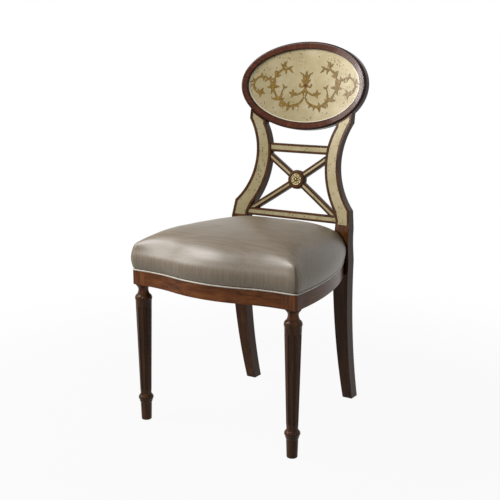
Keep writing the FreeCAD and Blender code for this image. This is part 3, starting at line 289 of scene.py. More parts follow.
# Pale gilding glazed cream and olive, rubbed back and flecked with umber: dull in the shade, near
# white where the leaf turns to the light
def agedCreamPaint(name, underGlass):
    material, tree = startMaterial(name)
    place = add(tree, "ShaderNodeTexCoord")
    cloud = add(
        tree, "ShaderNodeTexNoise",
        {"Vector": (place, "Object"), "Scale": 1000 / creamPaint["cloudMm"], "Detail": 5.0,
         "Roughness": 0.65},
    )
    paint = setStops(
        add(tree, "ShaderNodeValToRGB", {"Fac": (cloud, "Fac")}),
        list(zip(creamPaint["cloudStops"], (creamPaint["shade"], creamPaint["body"], creamPaint["bloom"]))),
    )
    wobble = add(
        tree, "ShaderNodeTexNoise",
        {"Vector": (place, "Object"), "Scale": 1000 / creamPaint["wanderMm"], "Detail": 2.0},
    )
    wander = add(
        tree, "ShaderNodeVectorMath",
        {0: (wobble, "Color"), 1: (creamPaint["fleckWander"],) * 3, 2: (place, "Object")},
        operation="MULTIPLY_ADD",
    )
    flecks = add(tree, "ShaderNodeTexVoronoi", {"Vector": (wander, 0), "Scale": 1000 / creamPaint["fleckMm"]})
    marks = add(
        tree, "ShaderNodeMapRange",
        {"Value": (flecks, "Distance"), "From Min": creamPaint["fleckRadius"],
         "From Max": creamPaint["fleckRadius"] * creamPaint["fleckEdge"]},
        clamp=True,
    )
    patches = add(
        tree, "ShaderNodeTexNoise",
        {"Vector": (place, "Object"), "Scale": 1000 / creamPaint["fleckPatchMm"], "Detail": 1.0},
    )
    patch = setStops(add(tree, "ShaderNodeValToRGB", {"Fac": (patches, "Fac")}), creamPaint["patchStops"])
    mask = add(tree, "ShaderNodeMath", {0: (marks, 0), 1: (patch, "Color")}, operation="MULTIPLY")
    if underGlass:  # flecks gather towards the rim
        plumb, reach = ovalReach(tree, place, backFrame["sightHalfWidth"], backFrame["sightHalfHeight"])
        rim = add(
            tree, "ShaderNodeMapRange", {"Value": (reach, "Value"), **creamPaint["rimFlecks"]}, clamp=True,
        )
        mask = add(tree, "ShaderNodeMath", {0: (mask, 0), 1: (rim, 0)}, operation="MULTIPLY")
    surfaceColour = add(
        tree, "ShaderNodeMixRGB",
        {"Fac": (mask, 0), "Color1": (paint, "Color"), "Color2": linear(creamPaint["fleck"])},
    )
    if underGlass:  # a painted highlight: a bright line inside the frame, at its bottom and sides only
        line = setStops(add(tree, "ShaderNodeValToRGB", {"Fac": (reach, "Value")}), creamPaint["paintedHighlightLine"])
        split = add(tree, "ShaderNodeSeparateXYZ", {"Vector": (plumb, 0)})
        below = add(
            tree, "ShaderNodeMapRange", {"Value": (split, "Z"), **creamPaint["paintedHighlightFade"]}, clamp=True,
        )
        line = add(tree, "ShaderNodeMath", {0: (line, "Color"), 1: (below, 0)}, operation="MULTIPLY")
        surfaceColour = add(
            tree, "ShaderNodeMixRGB",
            {"Fac": (line, 0), "Color1": (surfaceColour, "Color"), "Color2": linear(creamPaint["paintedHighlight"])},
        )
    bump = add(tree, "ShaderNodeBump", {"Height": (cloud, "Fac"), "Strength": 0.1, "Distance": 0.0005})
    shader = add(
        tree, "ShaderNodeBsdfPrincipled",
        {
            "Base Color": (surfaceColour, "Color"), "Metallic": creamPaint["leaf"],
            "Roughness": creamPaint["leafRoughness"], "IOR": creamPaint["ior"], "Specular IOR Level": 0.2,
            "Normal": (bump, 0), "Coat Weight": creamPaint["coatWeight"],
            "Coat Roughness": creamPaint["coatRoughness"],
        },
    )
    endMaterial(tree, shader)
    return material


glaze = {
    "ochre": (("#6f5419", "#806322", "#90732f"), 7),  # thin, body and full colour, and a stroke's mm
    "umber": (("#412708", "#4c300e", "#573a15"), 5),
    "ironRed": (("#4c1d0b", "#5b2711", "#6b341c"), 3),
    "strokeStops": (0.34, 0.5, 0.66),
    "roughness": 0.6,
    "specular": 0.1,
}


# Oil glaze brushed over the leaf: uneven and dull in itself, so it hides the metal, under the same
# thin gloss as the panel
def brushedGlaze(name, shade):
    material, tree = startMaterial(name)
    place = add(tree, "ShaderNodeTexCoord")
    colours, strokeMm = glaze[shade]
    strokes = add(
        tree, "ShaderNodeTexNoise", {"Vector": (place, "Object"), "Scale": 1000 / strokeMm, "Detail": 3.0},
    )
    colour = setStops(
        add(tree, "ShaderNodeValToRGB", {"Fac": (strokes, "Fac")}), list(zip(glaze["strokeStops"], colours)),
    )
    shader = add(
        tree, "ShaderNodeBsdfPrincipled",
        {
            "Base Color": (colour, "Color"), "Roughness": glaze["roughness"], "IOR": creamPaint["ior"],
            "Specular IOR Level": glaze["specular"], "Coat Weight": creamPaint["coatWeight"],
            "Coat Roughness": creamPaint["coatRoughness"],
        },
    )
    endMaterial(tree, shader)
    return material


silk = {
    "shadowThread": "#645744",
    "thread": "#6f624f",
    "lightThread": "#7b6e5c",
    "slubMm": 7,  # spacing of the thicker threads; real ones are near 2 mm, drawn coarser to show
    "slubSquash": (0.06, 1, 1),  # slubs run from side to side over the top
    "streakMm": 4,
    "streakSquash": (1, 1, 0.04),  # and up and down on the sides
    "topFacing": {"From Min": 0.25, "From Max": 0.7},
    "threadStops": (0.3, 0.5, 0.7),
    "roughness": 0.41,
    "specular": 0.62,
}


# Silk satin with a slubbed weft: broad soft highlights, fine streaks along the threads
def slubbedSilk(name, pale=None):
    shades = pale or (silk["shadowThread"], silk["thread"], silk["lightThread"])
    material, tree = startMaterial(name)
    place = add(tree, "ShaderNodeTexCoord")
    facing = add(tree, "ShaderNodeNewGeometry")
    across = add(tree, "ShaderNodeMapping", {"Vector": (place, "Object"), "Scale": silk["slubSquash"]})
    slubs = add(
        tree, "ShaderNodeTexNoise",
        {"Vector": (across, 0), "Scale": 1000 / silk["slubMm"], "Detail": 4.0, "Roughness": 0.65},
    )
    upright = add(tree, "ShaderNodeMapping", {"Vector": (place, "Object"), "Scale": silk["streakSquash"]})
    streaks = add(
        tree, "ShaderNodeTexNoise",
        {"Vector": (upright, 0), "Scale": 1000 / silk["streakMm"], "Detail": 4.0, "Roughness": 0.6},
    )
    split = add(tree, "ShaderNodeSeparateXYZ", {"Vector": (facing, "Normal")})
    upward = add(tree, "ShaderNodeMapRange", {"Value": (split, "Z"), **silk["topFacing"]}, clamp=True)
    pattern = add(
        tree, "ShaderNodeMixRGB", {"Fac": (upward, 0), "Color1": (streaks, "Fac"), "Color2": (slubs, "Fac")},
    )
    colour = setStops(
        add(tree, "ShaderNodeValToRGB", {"Fac": (pattern, "Color")}), list(zip(silk["threadStops"], shades)),
    )
    bump = add(tree, "ShaderNodeBump", {"Height": (pattern, "Color"), "Strength": 0.035, "Distance": 0.0005})
    shader = add(
        tree, "ShaderNodeBsdfPrincipled",
        {
            "Base Color": (colour, "Color"), "Roughness": silk["roughness"], "IOR": 1.54,
            "Specular IOR Level": silk["specular"], "Normal": (bump, 0),
        },
    )
    endMaterial(tree, shader)
    return material


rosetteBrass = {
    "hollowPaintedShadeStops": [(0.55, "#2b200d"), (0.98, "#a89a72")],
    "hollowPaintedShadeReach": 0.003,
    "sandMm": 10 / 9,
    "roughness": 0.3,
}


# Brass, sand cast and lacquered pale, with painted shade darkening its hollows
def castBrass(name):
    material, tree = startMaterial(name)
    place = add(tree, "ShaderNodeTexCoord")
    # painted shade: from dark in the hollows that ambient occlusion finds to the brass's own colour
    corner = add(tree, "ShaderNodeAmbientOcclusion", {"Distance": rosetteBrass["hollowPaintedShadeReach"]}, samples=6)
    colour = setStops(add(tree, "ShaderNodeValToRGB", {"Fac": (corner, "AO")}), rosetteBrass["hollowPaintedShadeStops"])
    sand = add(
        tree, "ShaderNodeTexNoise",
        {"Vector": (place, "Object"), "Scale": 1000 / rosetteBrass["sandMm"], "Detail": 3.0},
    )
    bump = add(tree, "ShaderNodeBump", {"Height": (sand, "Fac"), "Strength": 0.3, "Distance": 0.0003})
    shader = add(
        tree, "ShaderNodeBsdfPrincipled",
        {"Base Color": (colour, "Color"), "Metallic": 1.0, "Roughness": rosetteBrass["roughness"],
         "Normal": (bump, 0)},
    )
    endMaterial(tree, shader)
    return material


blockBeech = {
    "grainStops": [(0.35, "#a97c50"), (0.65, "#cba679")],
    "grainMm": 50 / 13,
    "squash": (1, 1, 0.12),
    "roughness": 0.72,
}


# Beech, sawn and left bare: pale, dry and faintly flecked
def sawnBeech(name):
    material, tree = startMaterial(name)
    place = add(tree, "ShaderNodeTexCoord")
    along = add(tree, "ShaderNodeMapping", {"Vector": (place, "Object"), "Scale": blockBeech["squash"]})
    grain = add(
        tree, "ShaderNodeTexNoise",
        {"Vector": (along, 0), "Scale": 1000 / blockBeech["grainMm"], "Detail": 4.0},
    )
    colour = setStops(add(tree, "ShaderNodeValToRGB", {"Fac": (grain, "Fac")}), blockBeech["grainStops"])
    bump = add(tree, "ShaderNodeBump", {"Height": (grain, "Fac"), "Strength": 0.2, "Distance": 0.0004})
    shader = add(
        tree, "ShaderNodeBsdfPrincipled",
        {"Base Color": (colour, "Color"), "Roughness": blockBeech["roughness"], "Normal": (bump, 0)},
    )
    endMaterial(tree, shader)
    return material


clothsBelow = {
    "webbing": ("#5b4a30", "#9a8660", 2.4, 0.9),  # dark and light thread, thread width in mm, roughness
    "lining": ("#0c0c0d", "#242427", 1.2, 0.85),
    "radiansPerScale": 20,  # a wave texture's turn over one metre at scale 1
}


# Plain woven cloth: threads over and under, drawn by two crossed waves. One wave comes out 2 pi
# threads wide, coarser than real cloth, so that the weave shows from below.
def plainWeave(name, cloth):
    dark, light, threadMm, roughness = clothsBelow[cloth]
    material, tree = startMaterial(name)
    place = add(tree, "ShaderNodeTexCoord")
    scale = 1000 / threadMm / clothsBelow["radiansPerScale"]
    warp = add(tree, "ShaderNodeTexWave", {"Vector": (place, "Object"), "Scale": scale}, bands_direction="X")
    weft = add(tree, "ShaderNodeTexWave", {"Vector": (place, "Object"), "Scale": scale}, bands_direction="Y")
    cross = add(tree, "ShaderNodeMath", {0: (warp, "Fac"), 1: (weft, "Fac")}, operation="MULTIPLY")
    colour = setStops(add(tree, "ShaderNodeValToRGB", {"Fac": (cross, 0)}), [(0.05, dark), (0.6, light)])
    bump = add(tree, "ShaderNodeBump", {"Height": (cross, 0), "Strength": 0.4, "Distance": 0.0005})
    shader = add(
        tree, "ShaderNodeBsdfPrincipled",
        {"Base Color": (colour, "Color"), "Roughness": roughness, "Normal": (bump, 0)},
    )
    endMaterial(tree, shader)
    return material


screwSteel = {"zinc": "#a9abad", "scuffMm": 5 / 3, "roughness": {"To Min": 0.2, "To Max": 0.45}}


# Steel wood screws, zinc plated: bright with faint scuffs
def platedSteel(name):
    material, tree = startMaterial(name)
    place = add(tree, "ShaderNodeTexCoord")
    scuff = add(
        tree, "ShaderNodeTexNoise", {"Vector": (place, "Object"), "Scale": 1000 / screwSteel["scuffMm"]},
    )
    rough = add(tree, "ShaderNodeMapRange", {"Value": (scuff, "Fac"), **screwSteel["roughness"]})
    shader = add(
        tree, "ShaderNodeBsdfPrincipled",
        {"Base Color": linear(screwSteel["zinc"]), "Metallic": 1.0, "Roughness": (rough, 0)},
    )
    endMaterial(tree, shader)
    return material


armSlope = math.radians(34.6)
upright, across, inward = (1, 1, 0.08), (0.08, 1, 1), (1, 0.08, 1)  # the grain's run in each wood
postWood = polishedMahogany("PolishedMahogany_upright", "deepStain", upright)
railWood = polishedMahogany("PolishedMahogany_across", "warmStain", across)
latticeWood = polishedMahogany("PolishedMahogany_lattice", "deepStain", across)
sideWood = polishedMahogany("PolishedMahogany_frontToBack", "warmStain", inward)
cream = agedCreamPaint("AgedCreamPaint", False)
beech = sawnBeech("SawnBeech")
finishes = {
    "back_post": postWood,
    "front_leg": polishedMahogany(
        "PolishedMahogany_turned", "legStain", upright,
        warmAbove=mahogany["blockFoot"], gloss=mahogany["legGloss"],
    ),
    "roundel": latticeWood,
    "front_seat_rail": railWood,
    "back_seat_rail": railWood,
    "side_seat_rail": sideWood,
    "upper_cross_rail": latticeWood,
    "lower_cross_rail": latticeWood,
    "oval_frame": polishedMahogany(
        "PolishedMahogany_crossband", "bandStain", upright, crossband=True, gloss=mahogany["ringGloss"],
    ),
    "oval_back_panel": railWood,
    "upper_arm_left": polishedMahogany("PolishedMahogany_armRising", "deepStain", across, armSlope),
    "upper_arm_right": polishedMahogany("PolishedMahogany_armFalling", "deepStain", across, -armSlope),
    "oval_glass": agedCreamPaint("CreamPaintBehindGlass", True),
    "post_inlay": cream,
    "upper_rail_inlay": cream,
    "lower_rail_inlay": cream,
    "upper_arm_inlay": cream,
    "lower_arm_inlay": cream,
    "rosette": castBrass("CastBrass"),
    "front_corner_block": beech,
    "rear_corner_block": beech,
    "corner_block_screws": platedSteel("PlatedSteel"),
    "seat_webbing": plainWeave("JuteWebbing", "webbing"),
    "dust_cover": plainWeave("BlackCambric", "lining"),
}
finishes["lower_arm_right"] = finishes["upper_arm_left"]
finishes["lower_arm_left"] = finishes["upper_arm_right"]
for name, node in nodes.items():
    matching = [key for key in finishes if name.startswith(key)]
    if matching:
        node.data.materials.clear()
        node.data.materials.append(finishes[max(matching, key=len)])
print("materials made:", len(bpy.data.materials))


def addObject(name, data):
    made = bpy.data.objects.new(name, data)
    bpy.context.scene.collection.objects.link(made)
    return made


def newPiece(name, mesh, material):
    piece = addObject(name, mesh)
    mesh.materials.append(material)
    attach(piece, "root")
    return piece


def meshFrom(made, name, sharpDegrees=None):
    bmesh.ops.recalc_face_normals(made, faces=made.faces)
    mesh = bpy.data.meshes.new(name)
    made.to_mesh(mesh)
    made.free()
    if sharpDegrees is not None:
        mesh.polygons.foreach_set("use_smooth", [True] * len(mesh.polygons))
        mesh.set_sharp_from_angle(angle=math.radians(sharpDegrees))
    return mesh


# Painted ornament, a traditional leafy scroll, in millimetres from the middle of the oval.
# Only the half on the sitter's left is written; the other half is its mirror image.
ornament = {
    "stems": [  # width at the start, in the middle and at the end, then the points
        (2.0, 6.6, 3.4, [(2, -29), (6, -38), (14, -47), (27, -53.5), (44, -56), (60, -51.5), (75, -41)]),
        (2.8, 4.2, 2.8, [(75, -41), (87, -28), (95, -14), (99, 0)]),
        (3.6, 3.8, 2.0, [(99, 0), (97, 15), (90, 29), (77, 41), (71, 52), (71, 64)]),
        (3.4, 4.6, 1.4, [(77, 42), (66, 45), (54, 45), (47, 37)]),
        (2.6, 3.0, 1.4, [(76, -41), (73, -30), (71, -19), (65, -6)]),
        (3.4, 4.4, 3.0, [(99, 0), (106, 10), (116, 17), (127, 21.5), (138, 21.5), (147, 17), (154, 8),
                         (156, -2), (154, -12), (147, -20), (139, -24), (131, -21)]),
        (3.0, 3.4, 1.4, [(148, 16), (158, 9.5), (169, 5.5)]),
        (3.0, 4.2, 2.6, [(1, -8), (8, -16), (17, -21.5), (27, -25), (36, -24)]),
        (3.0, 4.6, 3.4, [(4, 4), (8, -1), (13, -3), (17, -1), (18, 3), (15, 5)]),
        (3.6, 3.2, 1.2, [(4, 18), (8, 27), (14, 33), (20, 36)]),
        (9.0, 17.0, 2.0, [(0, -6), (0, 8), (0, 22), (0, 40)]),
        (3.0, 4.5, 1.6, [(2, -27), (5, -22), (3, -12), (1, -4)]),
    ],
    "leaves": [  # root x and rise, then angle from the horizontal, length, width and how far it bends
        (4, 12, 66, 20, 8, 0.1), (5, 8, 34, 14, 8, 0.2), (0, -5, -90, 14, 8, 0),
        (22, -52, -150, 11, 7, 0.3), (34, -55, -118, 13, 8, 0.3), (47, -56, -80, 16, 11, 0.2),
        (50, -55, 100, 13, 9, 0.3), (60, -52, -40, 15, 10, 0.2),
        (58, -53, 60, 16, 10, -0.2), (70, -46, -70, 13, 9, 0.2),
        (75, -42, 160, 15, 10, -0.2), (77, -40, 112, 20, 12, 0.1), (80, -37, -8, 20, 12, 0.1),
        (82, -35, 40, 15, 10, 0.2), (65, -7, 150, 11, 7, 0.2), (65, -8, 76, 13, 7, -0.2),
        (98, -4, 176, 20, 13, 0.1), (100, 0, 48, 17, 12, 0.1), (100, -4, -20, 18, 12, 0.2),
        (98, -6, -84, 20, 12, 0.2),
        (99, 2, 122, 17, 11, -0.2), (96, 16, -10, 12, 8, 0.2), (93, 24, 170, 16, 10, -0.1),
        (92, 26, 52, 14, 9, 0.2), (86, 34, 20, 12, 8, 0.2), (84, 36, 130, 13, 8, 0.2),
        (71, 52, 112, 17, 9, 0.1), (72, 52, 26, 13, 8, 0.2), (71, 52, 168, 9, 6, 0.2),
        (56, 46, 140, 14, 7, 0.2), (66, 45, -112, 15, 9, 0.2), (52, 44, -128, 14, 7, -0.2),
        (112, 15, 112, 11, 8, 0.2), (118, 18, -66, 12, 8, 0.2), (135, 22, 76, 11, 8, 0.2),
        (131, 22, -112, 12, 8, 0.2),
        (157, 8, 66, 11, 8, 0.2), (156, -2, -8, 10, 7, 0.2), (155, -8, -160, 9, 6, 0.2),
        (133, -21, 190, 13, 9, 0.1), (134, -21, 112, 14, 9, 0.1), (137, -22, 44, 13, 8, 0.2),
        (135, -23, -96, 13, 9, 0.2), (37, -22, 10, 14, 9, 0.1), (36, -22, 76, 13, 9, 0.1),
        (35, -23, -66, 12, 8, 0.2), (34, -24, 140, 10, 6, 0.2),
    ],
    "leafForm": (0.35, 3.2, 0.95),  # width at the root, how fast it swells, and how it runs out
    "heart": (0, 1, 12, 11),  # x, rise, width and height
    "outline": 0.6,  # how far the umber edge stands out round each stroke
    "depth": 0.0033,  # in metres behind the back's face, just in front of the glass
    "layerStep": 0.000003,
    "mergeWithin": 0.000001,
}


# Points of a smooth line through given ones
def throughPoints(points, steps):
    ends = [points[0]] + list(points) + [points[-1]]
    made = []
    for i in range(1, len(ends) - 2):
        a, b, c, d = (Vector(p) for p in ends[i - 1:i + 3])
        for step in range(steps):
            t = step / steps
            made.append(0.5 * (2 * b + (c - a) * t + (2 * a - 5 * b + 4 * c - d) * t ** 2
                               + (3 * b - a - 3 * c + d) * t ** 3))
    return made + [Vector(points[-1])]


# One stroke as pairs of points across its width, from root to tip
def stemStroke(start, middle, end, points, steps=5):
    line = throughPoints(points, steps)
    stroke = []
    for i, point in enumerate(line):
        share = i / (len(line) - 1)
        if share < 0.5:
            width = start + (middle - start) * share * 2
        else:
            width = middle + (end - middle) * (share * 2 - 1)
        along = (line[min(i + 1, len(line) - 1)] - line[max(i - 1, 0)]).normalized()
        side = Vector((-along.y, along.x)) * width / 2
        stroke.append((point - side, point + side))
    return stroke


def leafStroke(x, rise, degrees, length, width, bend, steps=8):
    turn = math.radians(degrees)
    along, side = Vector((math.cos(turn), math.sin(turn))), Vector((-math.sin(turn), math.cos(turn)))
    root, swelling, taper = ornament["leafForm"]
    stroke = []
    for step in range(steps + 1):
        t = step / steps
        half = width / 2 * min(1.0, root + t * swelling) * (1 - t) ** taper
        middle = Vector((x, rise)) + along * length * t + side * length * bend * t * t
        stroke.append((middle - side * half, middle + side * half))
    return stroke


def heartStroke(x, rise, width, height):
    foot, top = Vector((x, rise - height / 2)), Vector((x, rise + height / 2))
    return [(foot, foot), (Vector((x - width / 2, rise)), Vector((x + width / 2, rise))), (top, top)]


# The same stroke made wider all round, for the darker edge under it
def widened(stroke, out):
    made = []
    for low, high in stroke:
        across = high - low
        side = across.normalized() * out if across.length > 0 else across
        made.append((low - side, high + side))
    return made


# The umber edges lie deepest, then the ochre strokes, then the red heart; it stands on the middle
# line, so it alone isn't mirrored
def paintOrnament():
    ochre, umber, ironRed = range(3)
    strokes = [stemStroke(*stem) for stem in ornament["stems"]]
    strokes += [leafStroke(*leaf) for leaf in ornament["leaves"]]
    layers = [(widened(stroke, ornament["outline"]), umber) for stroke in strokes]
    layers += [(stroke, ochre) for stroke in strokes] + [(heartStroke(*ornament["heart"]), ironRed)]
    made = bmesh.new()
    for layer, (stroke, paint) in enumerate(layers):
        depth = ornament["depth"] - layer * ornament["layerStep"]
        for mirror in (1,) if paint == ironRed else (1, -1):
            rows = []
            for pair in stroke:
                points = [
                    onBack(mirror * p.x / 1000, backFrame["ovalRise"] + p.y / 1000, depth) for p in pair
                ]
                rows.append([made.verts.new(point) for point in points])
            for low, high in zip(rows, rows[1:]):
                face = made.faces.new((low[0], low[1], high[1], high[0]))
                face.material_index = paint
    bmesh.ops.remove_doubles(made, verts=made.verts, dist=ornament["mergeWithin"])
    for face in made.faces:
        face.normal_update()
        if face.normal.y > 0:
            face.normal_flip()
    mesh = bpy.data.meshes.new("paintedScroll")
    made.to_mesh(mesh)
    made.free()
    newPiece("paintedScroll", mesh, brushedGlaze("OchreGlaze", "ochre"))
    mesh.materials.append(brushedGlaze("UmberGlaze", "umber"))
    mesh.materials.append(brushedGlaze("IronRedGlaze", "ironRed"))


paintOrnament()
print("ornament painted")

# The seat's outline in plan, in metres, as the frame has it: serpentine front, bowed sides
seatPlan = {
    "frontY": -0.2326,  # outer face of the leg blocks
    "middleY": -0.0476,  # the crown's middle
    "rearY": 0.1679,
    "halfFront": 0.2415,
    "legInner": 0.2015,
    "bow": 0.028,  # how far the front's middle stands out
    "sideRadius": 0.830,
    "sideStartY": -0.1926,
    "frontSteps": 40,
    "cornerSteps": 8,
    "sideSteps": 40,
    "rearCornerSteps": 6,
    "ringPoints": 192,
}


# Even points round the outline, pushed out by a distance, with a given corner radius
def seatOutline(out, corner):
    plan = seatPlan
    bend = corner + out
    run, bow = plan["legInner"], plan["bow"]
    radius = (run * run + bow * bow) / (4 * bow)
    front, side = plan["frontY"] - out, plan["halfFront"] + out
    half = []
    for step in range(plan["frontSteps"] + 1):
        x = run * step / plan["frontSteps"]
        rise = radius - math.sqrt(radius ** 2 - min(x, run - x) ** 2)
        half.append((x, front - bow + rise if x < run / 2 else front - rise))
    for step in range(1, plan["cornerSteps"] + 1):
        turn = math.pi / 2 * step / plan["cornerSteps"]
        half.append((side - bend + bend * math.sin(turn), front + bend - bend * math.cos(turn)))
    sideRadius = plan["sideRadius"] + out
    rear = plan["rearY"] + out
    last = math.asin((rear - bend - plan["sideStartY"]) / sideRadius)
    for step in range(plan["sideSteps"] + 1):
        turn = last * step / plan["sideSteps"]
        x = side - sideRadius * (1 - math.cos(turn))
        half.append((x, plan["sideStartY"] + sideRadius * math.sin(turn)))
    endX = half[-1][0]
    for step in range(1, plan["rearCornerSteps"] + 1):
        turn = math.pi / 2 * step / plan["rearCornerSteps"]
        half.append((endX - bend + bend * math.cos(turn), rear - bend + bend * math.sin(turn)))
    half.append((0, rear))
    lengths = [0]
    for (x0, y0), (x1, y1) in zip(half, half[1:]):
        lengths.append(lengths[-1] + math.hypot(x1 - x0, y1 - y0))
    count = plan["ringPoints"] // 2
    even, at = [], 0
    for step in range(count + 1):
        goal = lengths[-1] * step / count
        while at < len(half) - 2 and lengths[at + 1] < goal:
            at += 1
        share = (goal - lengths[at]) / (lengths[at + 1] - lengths[at])
        even.append(Vector(half[at]).lerp(Vector(half[at + 1]), min(share, 1)))
    return even + [Vector((-p.x, p.y)) for p in reversed(even[1:-1])]


def evenedOut(ring, passes):
    for _ in range(passes):
        ring = [(ring[i - 1] + ring[i] * 2 + ring[(i + 1) % len(ring)]) / 4 for i in range(len(ring))]
    return ring


cushion = {
    "corner": 0.011,
    "under": [(0.4330, 0.25), (0.4330, 0.6), (0.4330, 0.9)],  # height and share of the plan
    "frameOut": -0.0027,
    "frameCorner": 0.008,
    "overRails": (0.4330, 0.420, 0.4087),  # heights down the rails' outer faces, under the cover
    "sides": [(0.4087, 0.001), (0.4145, 0.003), (0.421, 0.005), (0.430, 0.0066), (0.438, 0.007),
              (0.446, 0.0062), (0.4525, 0.004)],  # height and how far out
    "crownBase": 0.458,
    "crownHeight": 0.0600,
    "crownOut": 0.001,
    "crown": [(1.0, 0.0), (0.985, 0.115), (0.965, 0.215), (0.935, 0.36), (0.9, 0.485), (0.84, 0.635),
              (0.78, 0.735), (0.69, 0.83), (0.6, 0.89), (0.48, 0.945), (0.36, 0.977), (0.24, 0.994),
              (0.12, 1.0)],  # share of the plan and of the crown's height
    "softenPasses": 60,  # how far the crown's corners are rounded inwards
    "softenOver": 0.22,  # share of the plan over which they round
    "simFrames": 16,
    "cloth": {
        "quality": 6, "mass": 0.3, "tension_stiffness": 40, "compression_stiffness": 30,
        "shear_stiffness": 10, "bending_stiffness": 1.0, "use_pressure": True, "uniform_pressure_force": 3.0,
        "vertex_group_mass": "hem",
    },
    "swell": 0.0025,  # the most that a point may move
    "easePasses": 30,  # evens the swelling out, so that the cloth doesn't buckle
    "hemTop": 0.4095,
    "underside": (0.4335, 0.2, -0.22),  # height, half width and front of what lies on the rails
    "cornerOut": 0.003,
    "fineNear": 0.034,  # how near a front corner the mesh is made finer
    "fineTop": 0.485,
    "fineCuts": 3,
    "shoulder": {"from": 0.446, "full": 0.475, "lift": 0.003, "reach": 0.09},
    "pulls": {"perMetre": (26, 26, 12), "height": 0.0006},
    "pleat": {
        "top": 0.4655, "depth": 0.0038, "width": 0.0020, "reach": 0.06,
        "fadeBelow": 0.006, "fadeAbove": 0.003,
        "lip": 0.0012, "lipAside": 0.0045, "lipWidth": 0.0022,
        "ear": 0.0045, "earHeight": 0.011, "earWidth": 0.016, "earLean": 0.7,
    },
    "tuck": {"behindPosts": 0.1692, "bulge": 0.0056, "postInner": 0.138, "fullFrom": 0.1},
    "postRoom": 0.0004,
    "sharpDegrees": 50,
}


# Walls between closed rings of points, each joined to the next
def joinRings(made, rings):
    count = len(rings[0])
    for low, high in zip(rings, rings[1:]):
        for i in range(count):
            j = (i + 1) % count
            made.faces.new((low[i], low[j], high[j], high[i]))


def cushionMesh():
    middle = Vector((0, seatPlan["middleY"]))
    rings = []
    frameRing = seatOutline(cushion["frameOut"], cushion["frameCorner"])
    for height, scale in cushion["under"]:
        rings.append([(middle + (p - middle) * scale, height) for p in frameRing])
    rings += [[(p, height) for p in frameRing] for height in cushion["overRails"]]
    held = len(rings) + 1  # all that lies under, and the hem
    for height, out in cushion["sides"]:
        rings.append([(p, height) for p in seatOutline(out, cushion["corner"])])
    plain = seatOutline(cushion["crownOut"], cushion["corner"])
    soft = evenedOut(plain, cushion["softenPasses"])
    for scale, share in cushion["crown"]:
        blend = smoothStep(0, 1, (1 - scale) / cushion["softenOver"])
        height = cushion["crownBase"] + cushion["crownHeight"] * share
        rings.append([(middle + (p.lerp(q, blend) - middle) * scale, height) for p, q in zip(plain, soft)])
    made = bmesh.new()
    rows = [[made.verts.new((p.x, p.y, height)) for p, height in ring] for ring in rings]
    joinRings(made, rows)
    count = len(rows[0])
    top = cushion["crownBase"] + cushion["crownHeight"]
    for row, height in ((rows[0], cushion["under"][0][0]), (rows[-1], top)):
        peak = made.verts.new((0, seatPlan["middleY"], height))
        for i in range(count):
            made.faces.new((row[i], row[(i + 1) % count], peak))
    made.verts.index_update()
    pinned = [v.index for row in rows[:held] for v in row]
    return meshFrom(made, "seatCushion"), pinned


# Lets the stuffed cover swell under pressure, held at its hem, each point by no more than the cap
def swellCushion(piece, pinned):
    start = [v.co.copy() for v in piece.data.vertices]
    group = piece.vertex_groups.new(name="hem")
    group.add(pinned, 1.0, "REPLACE")
    cloth = piece.modifiers.new("swell", "CLOTH")
    for setting, value in cushion["cloth"].items():
        setattr(cloth.settings, setting, value)
    cloth.settings.effector_weights.gravity = 0
    cloth.collision_settings.use_collision = False
    cloth.point_cache.frame_start = 1
    cloth.point_cache.frame_end = cushion["simFrames"]
    for step in range(1, cushion["simFrames"] + 1):
        bpy.context.scene.frame_set(step)
    graph = bpy.context.evaluated_depsgraph_get()
    moved = [v.co.copy() for v in piece.evaluated_get(graph).data.vertices]
    piece.modifiers.remove(cloth)
    piece.vertex_groups.clear()
    bpy.context.scene.frame_set(1)
    steps = [after - before for before, after in zip(start, moved)]
    most = max(step.length for step in steps)
    steps = [step * min(1.0, cushion["swell"] / max(step.length, 1e-9)) for step in steps]
    beside = [[] for _ in steps]
    for edge in piece.data.edges:
        low, high = edge.vertices
        beside[low].append(high)
        beside[high].append(low)
    fixed = set(pinned)
    for _ in range(cushion["easePasses"]):
        steps = [
            step if i in fixed else (step + sum((steps[j] for j in beside[i]), Vector()) / len(beside[i])) / 2
            for i, step in enumerate(steps)
        ]
    for vertex, step in zip(piece.data.vertices, steps):
        vertex.co += step
    print("cushion swelled, most:", round(most * 1000, 1), "mm before the cap")


def frontCorner(sideSign, height):
    out = cushion["cornerOut"]
    return Vector((sideSign * (seatPlan["halfFront"] + out), seatPlan["frontY"] - out, height))


# Smaller faces by the front corners, for the narrow pleats
def finerCorners(piece):
    made = bmesh.new()
    made.from_mesh(piece.data)
    near = []
    for edge in made.edges:
        middle = (edge.verts[0].co + edge.verts[1].co) / 2
        if cushion["hemTop"] < middle.z < cushion["fineTop"] and any(
            (middle - frontCorner(sign, middle.z)).length < cushion["fineNear"] for sign in (-1, 1)
        ):
            near.append(edge)
    bmesh.ops.subdivide_edges(made, edges=near, cuts=cushion["fineCuts"], use_grid_fill=True)
    made.to_mesh(piece.data)
    made.free()


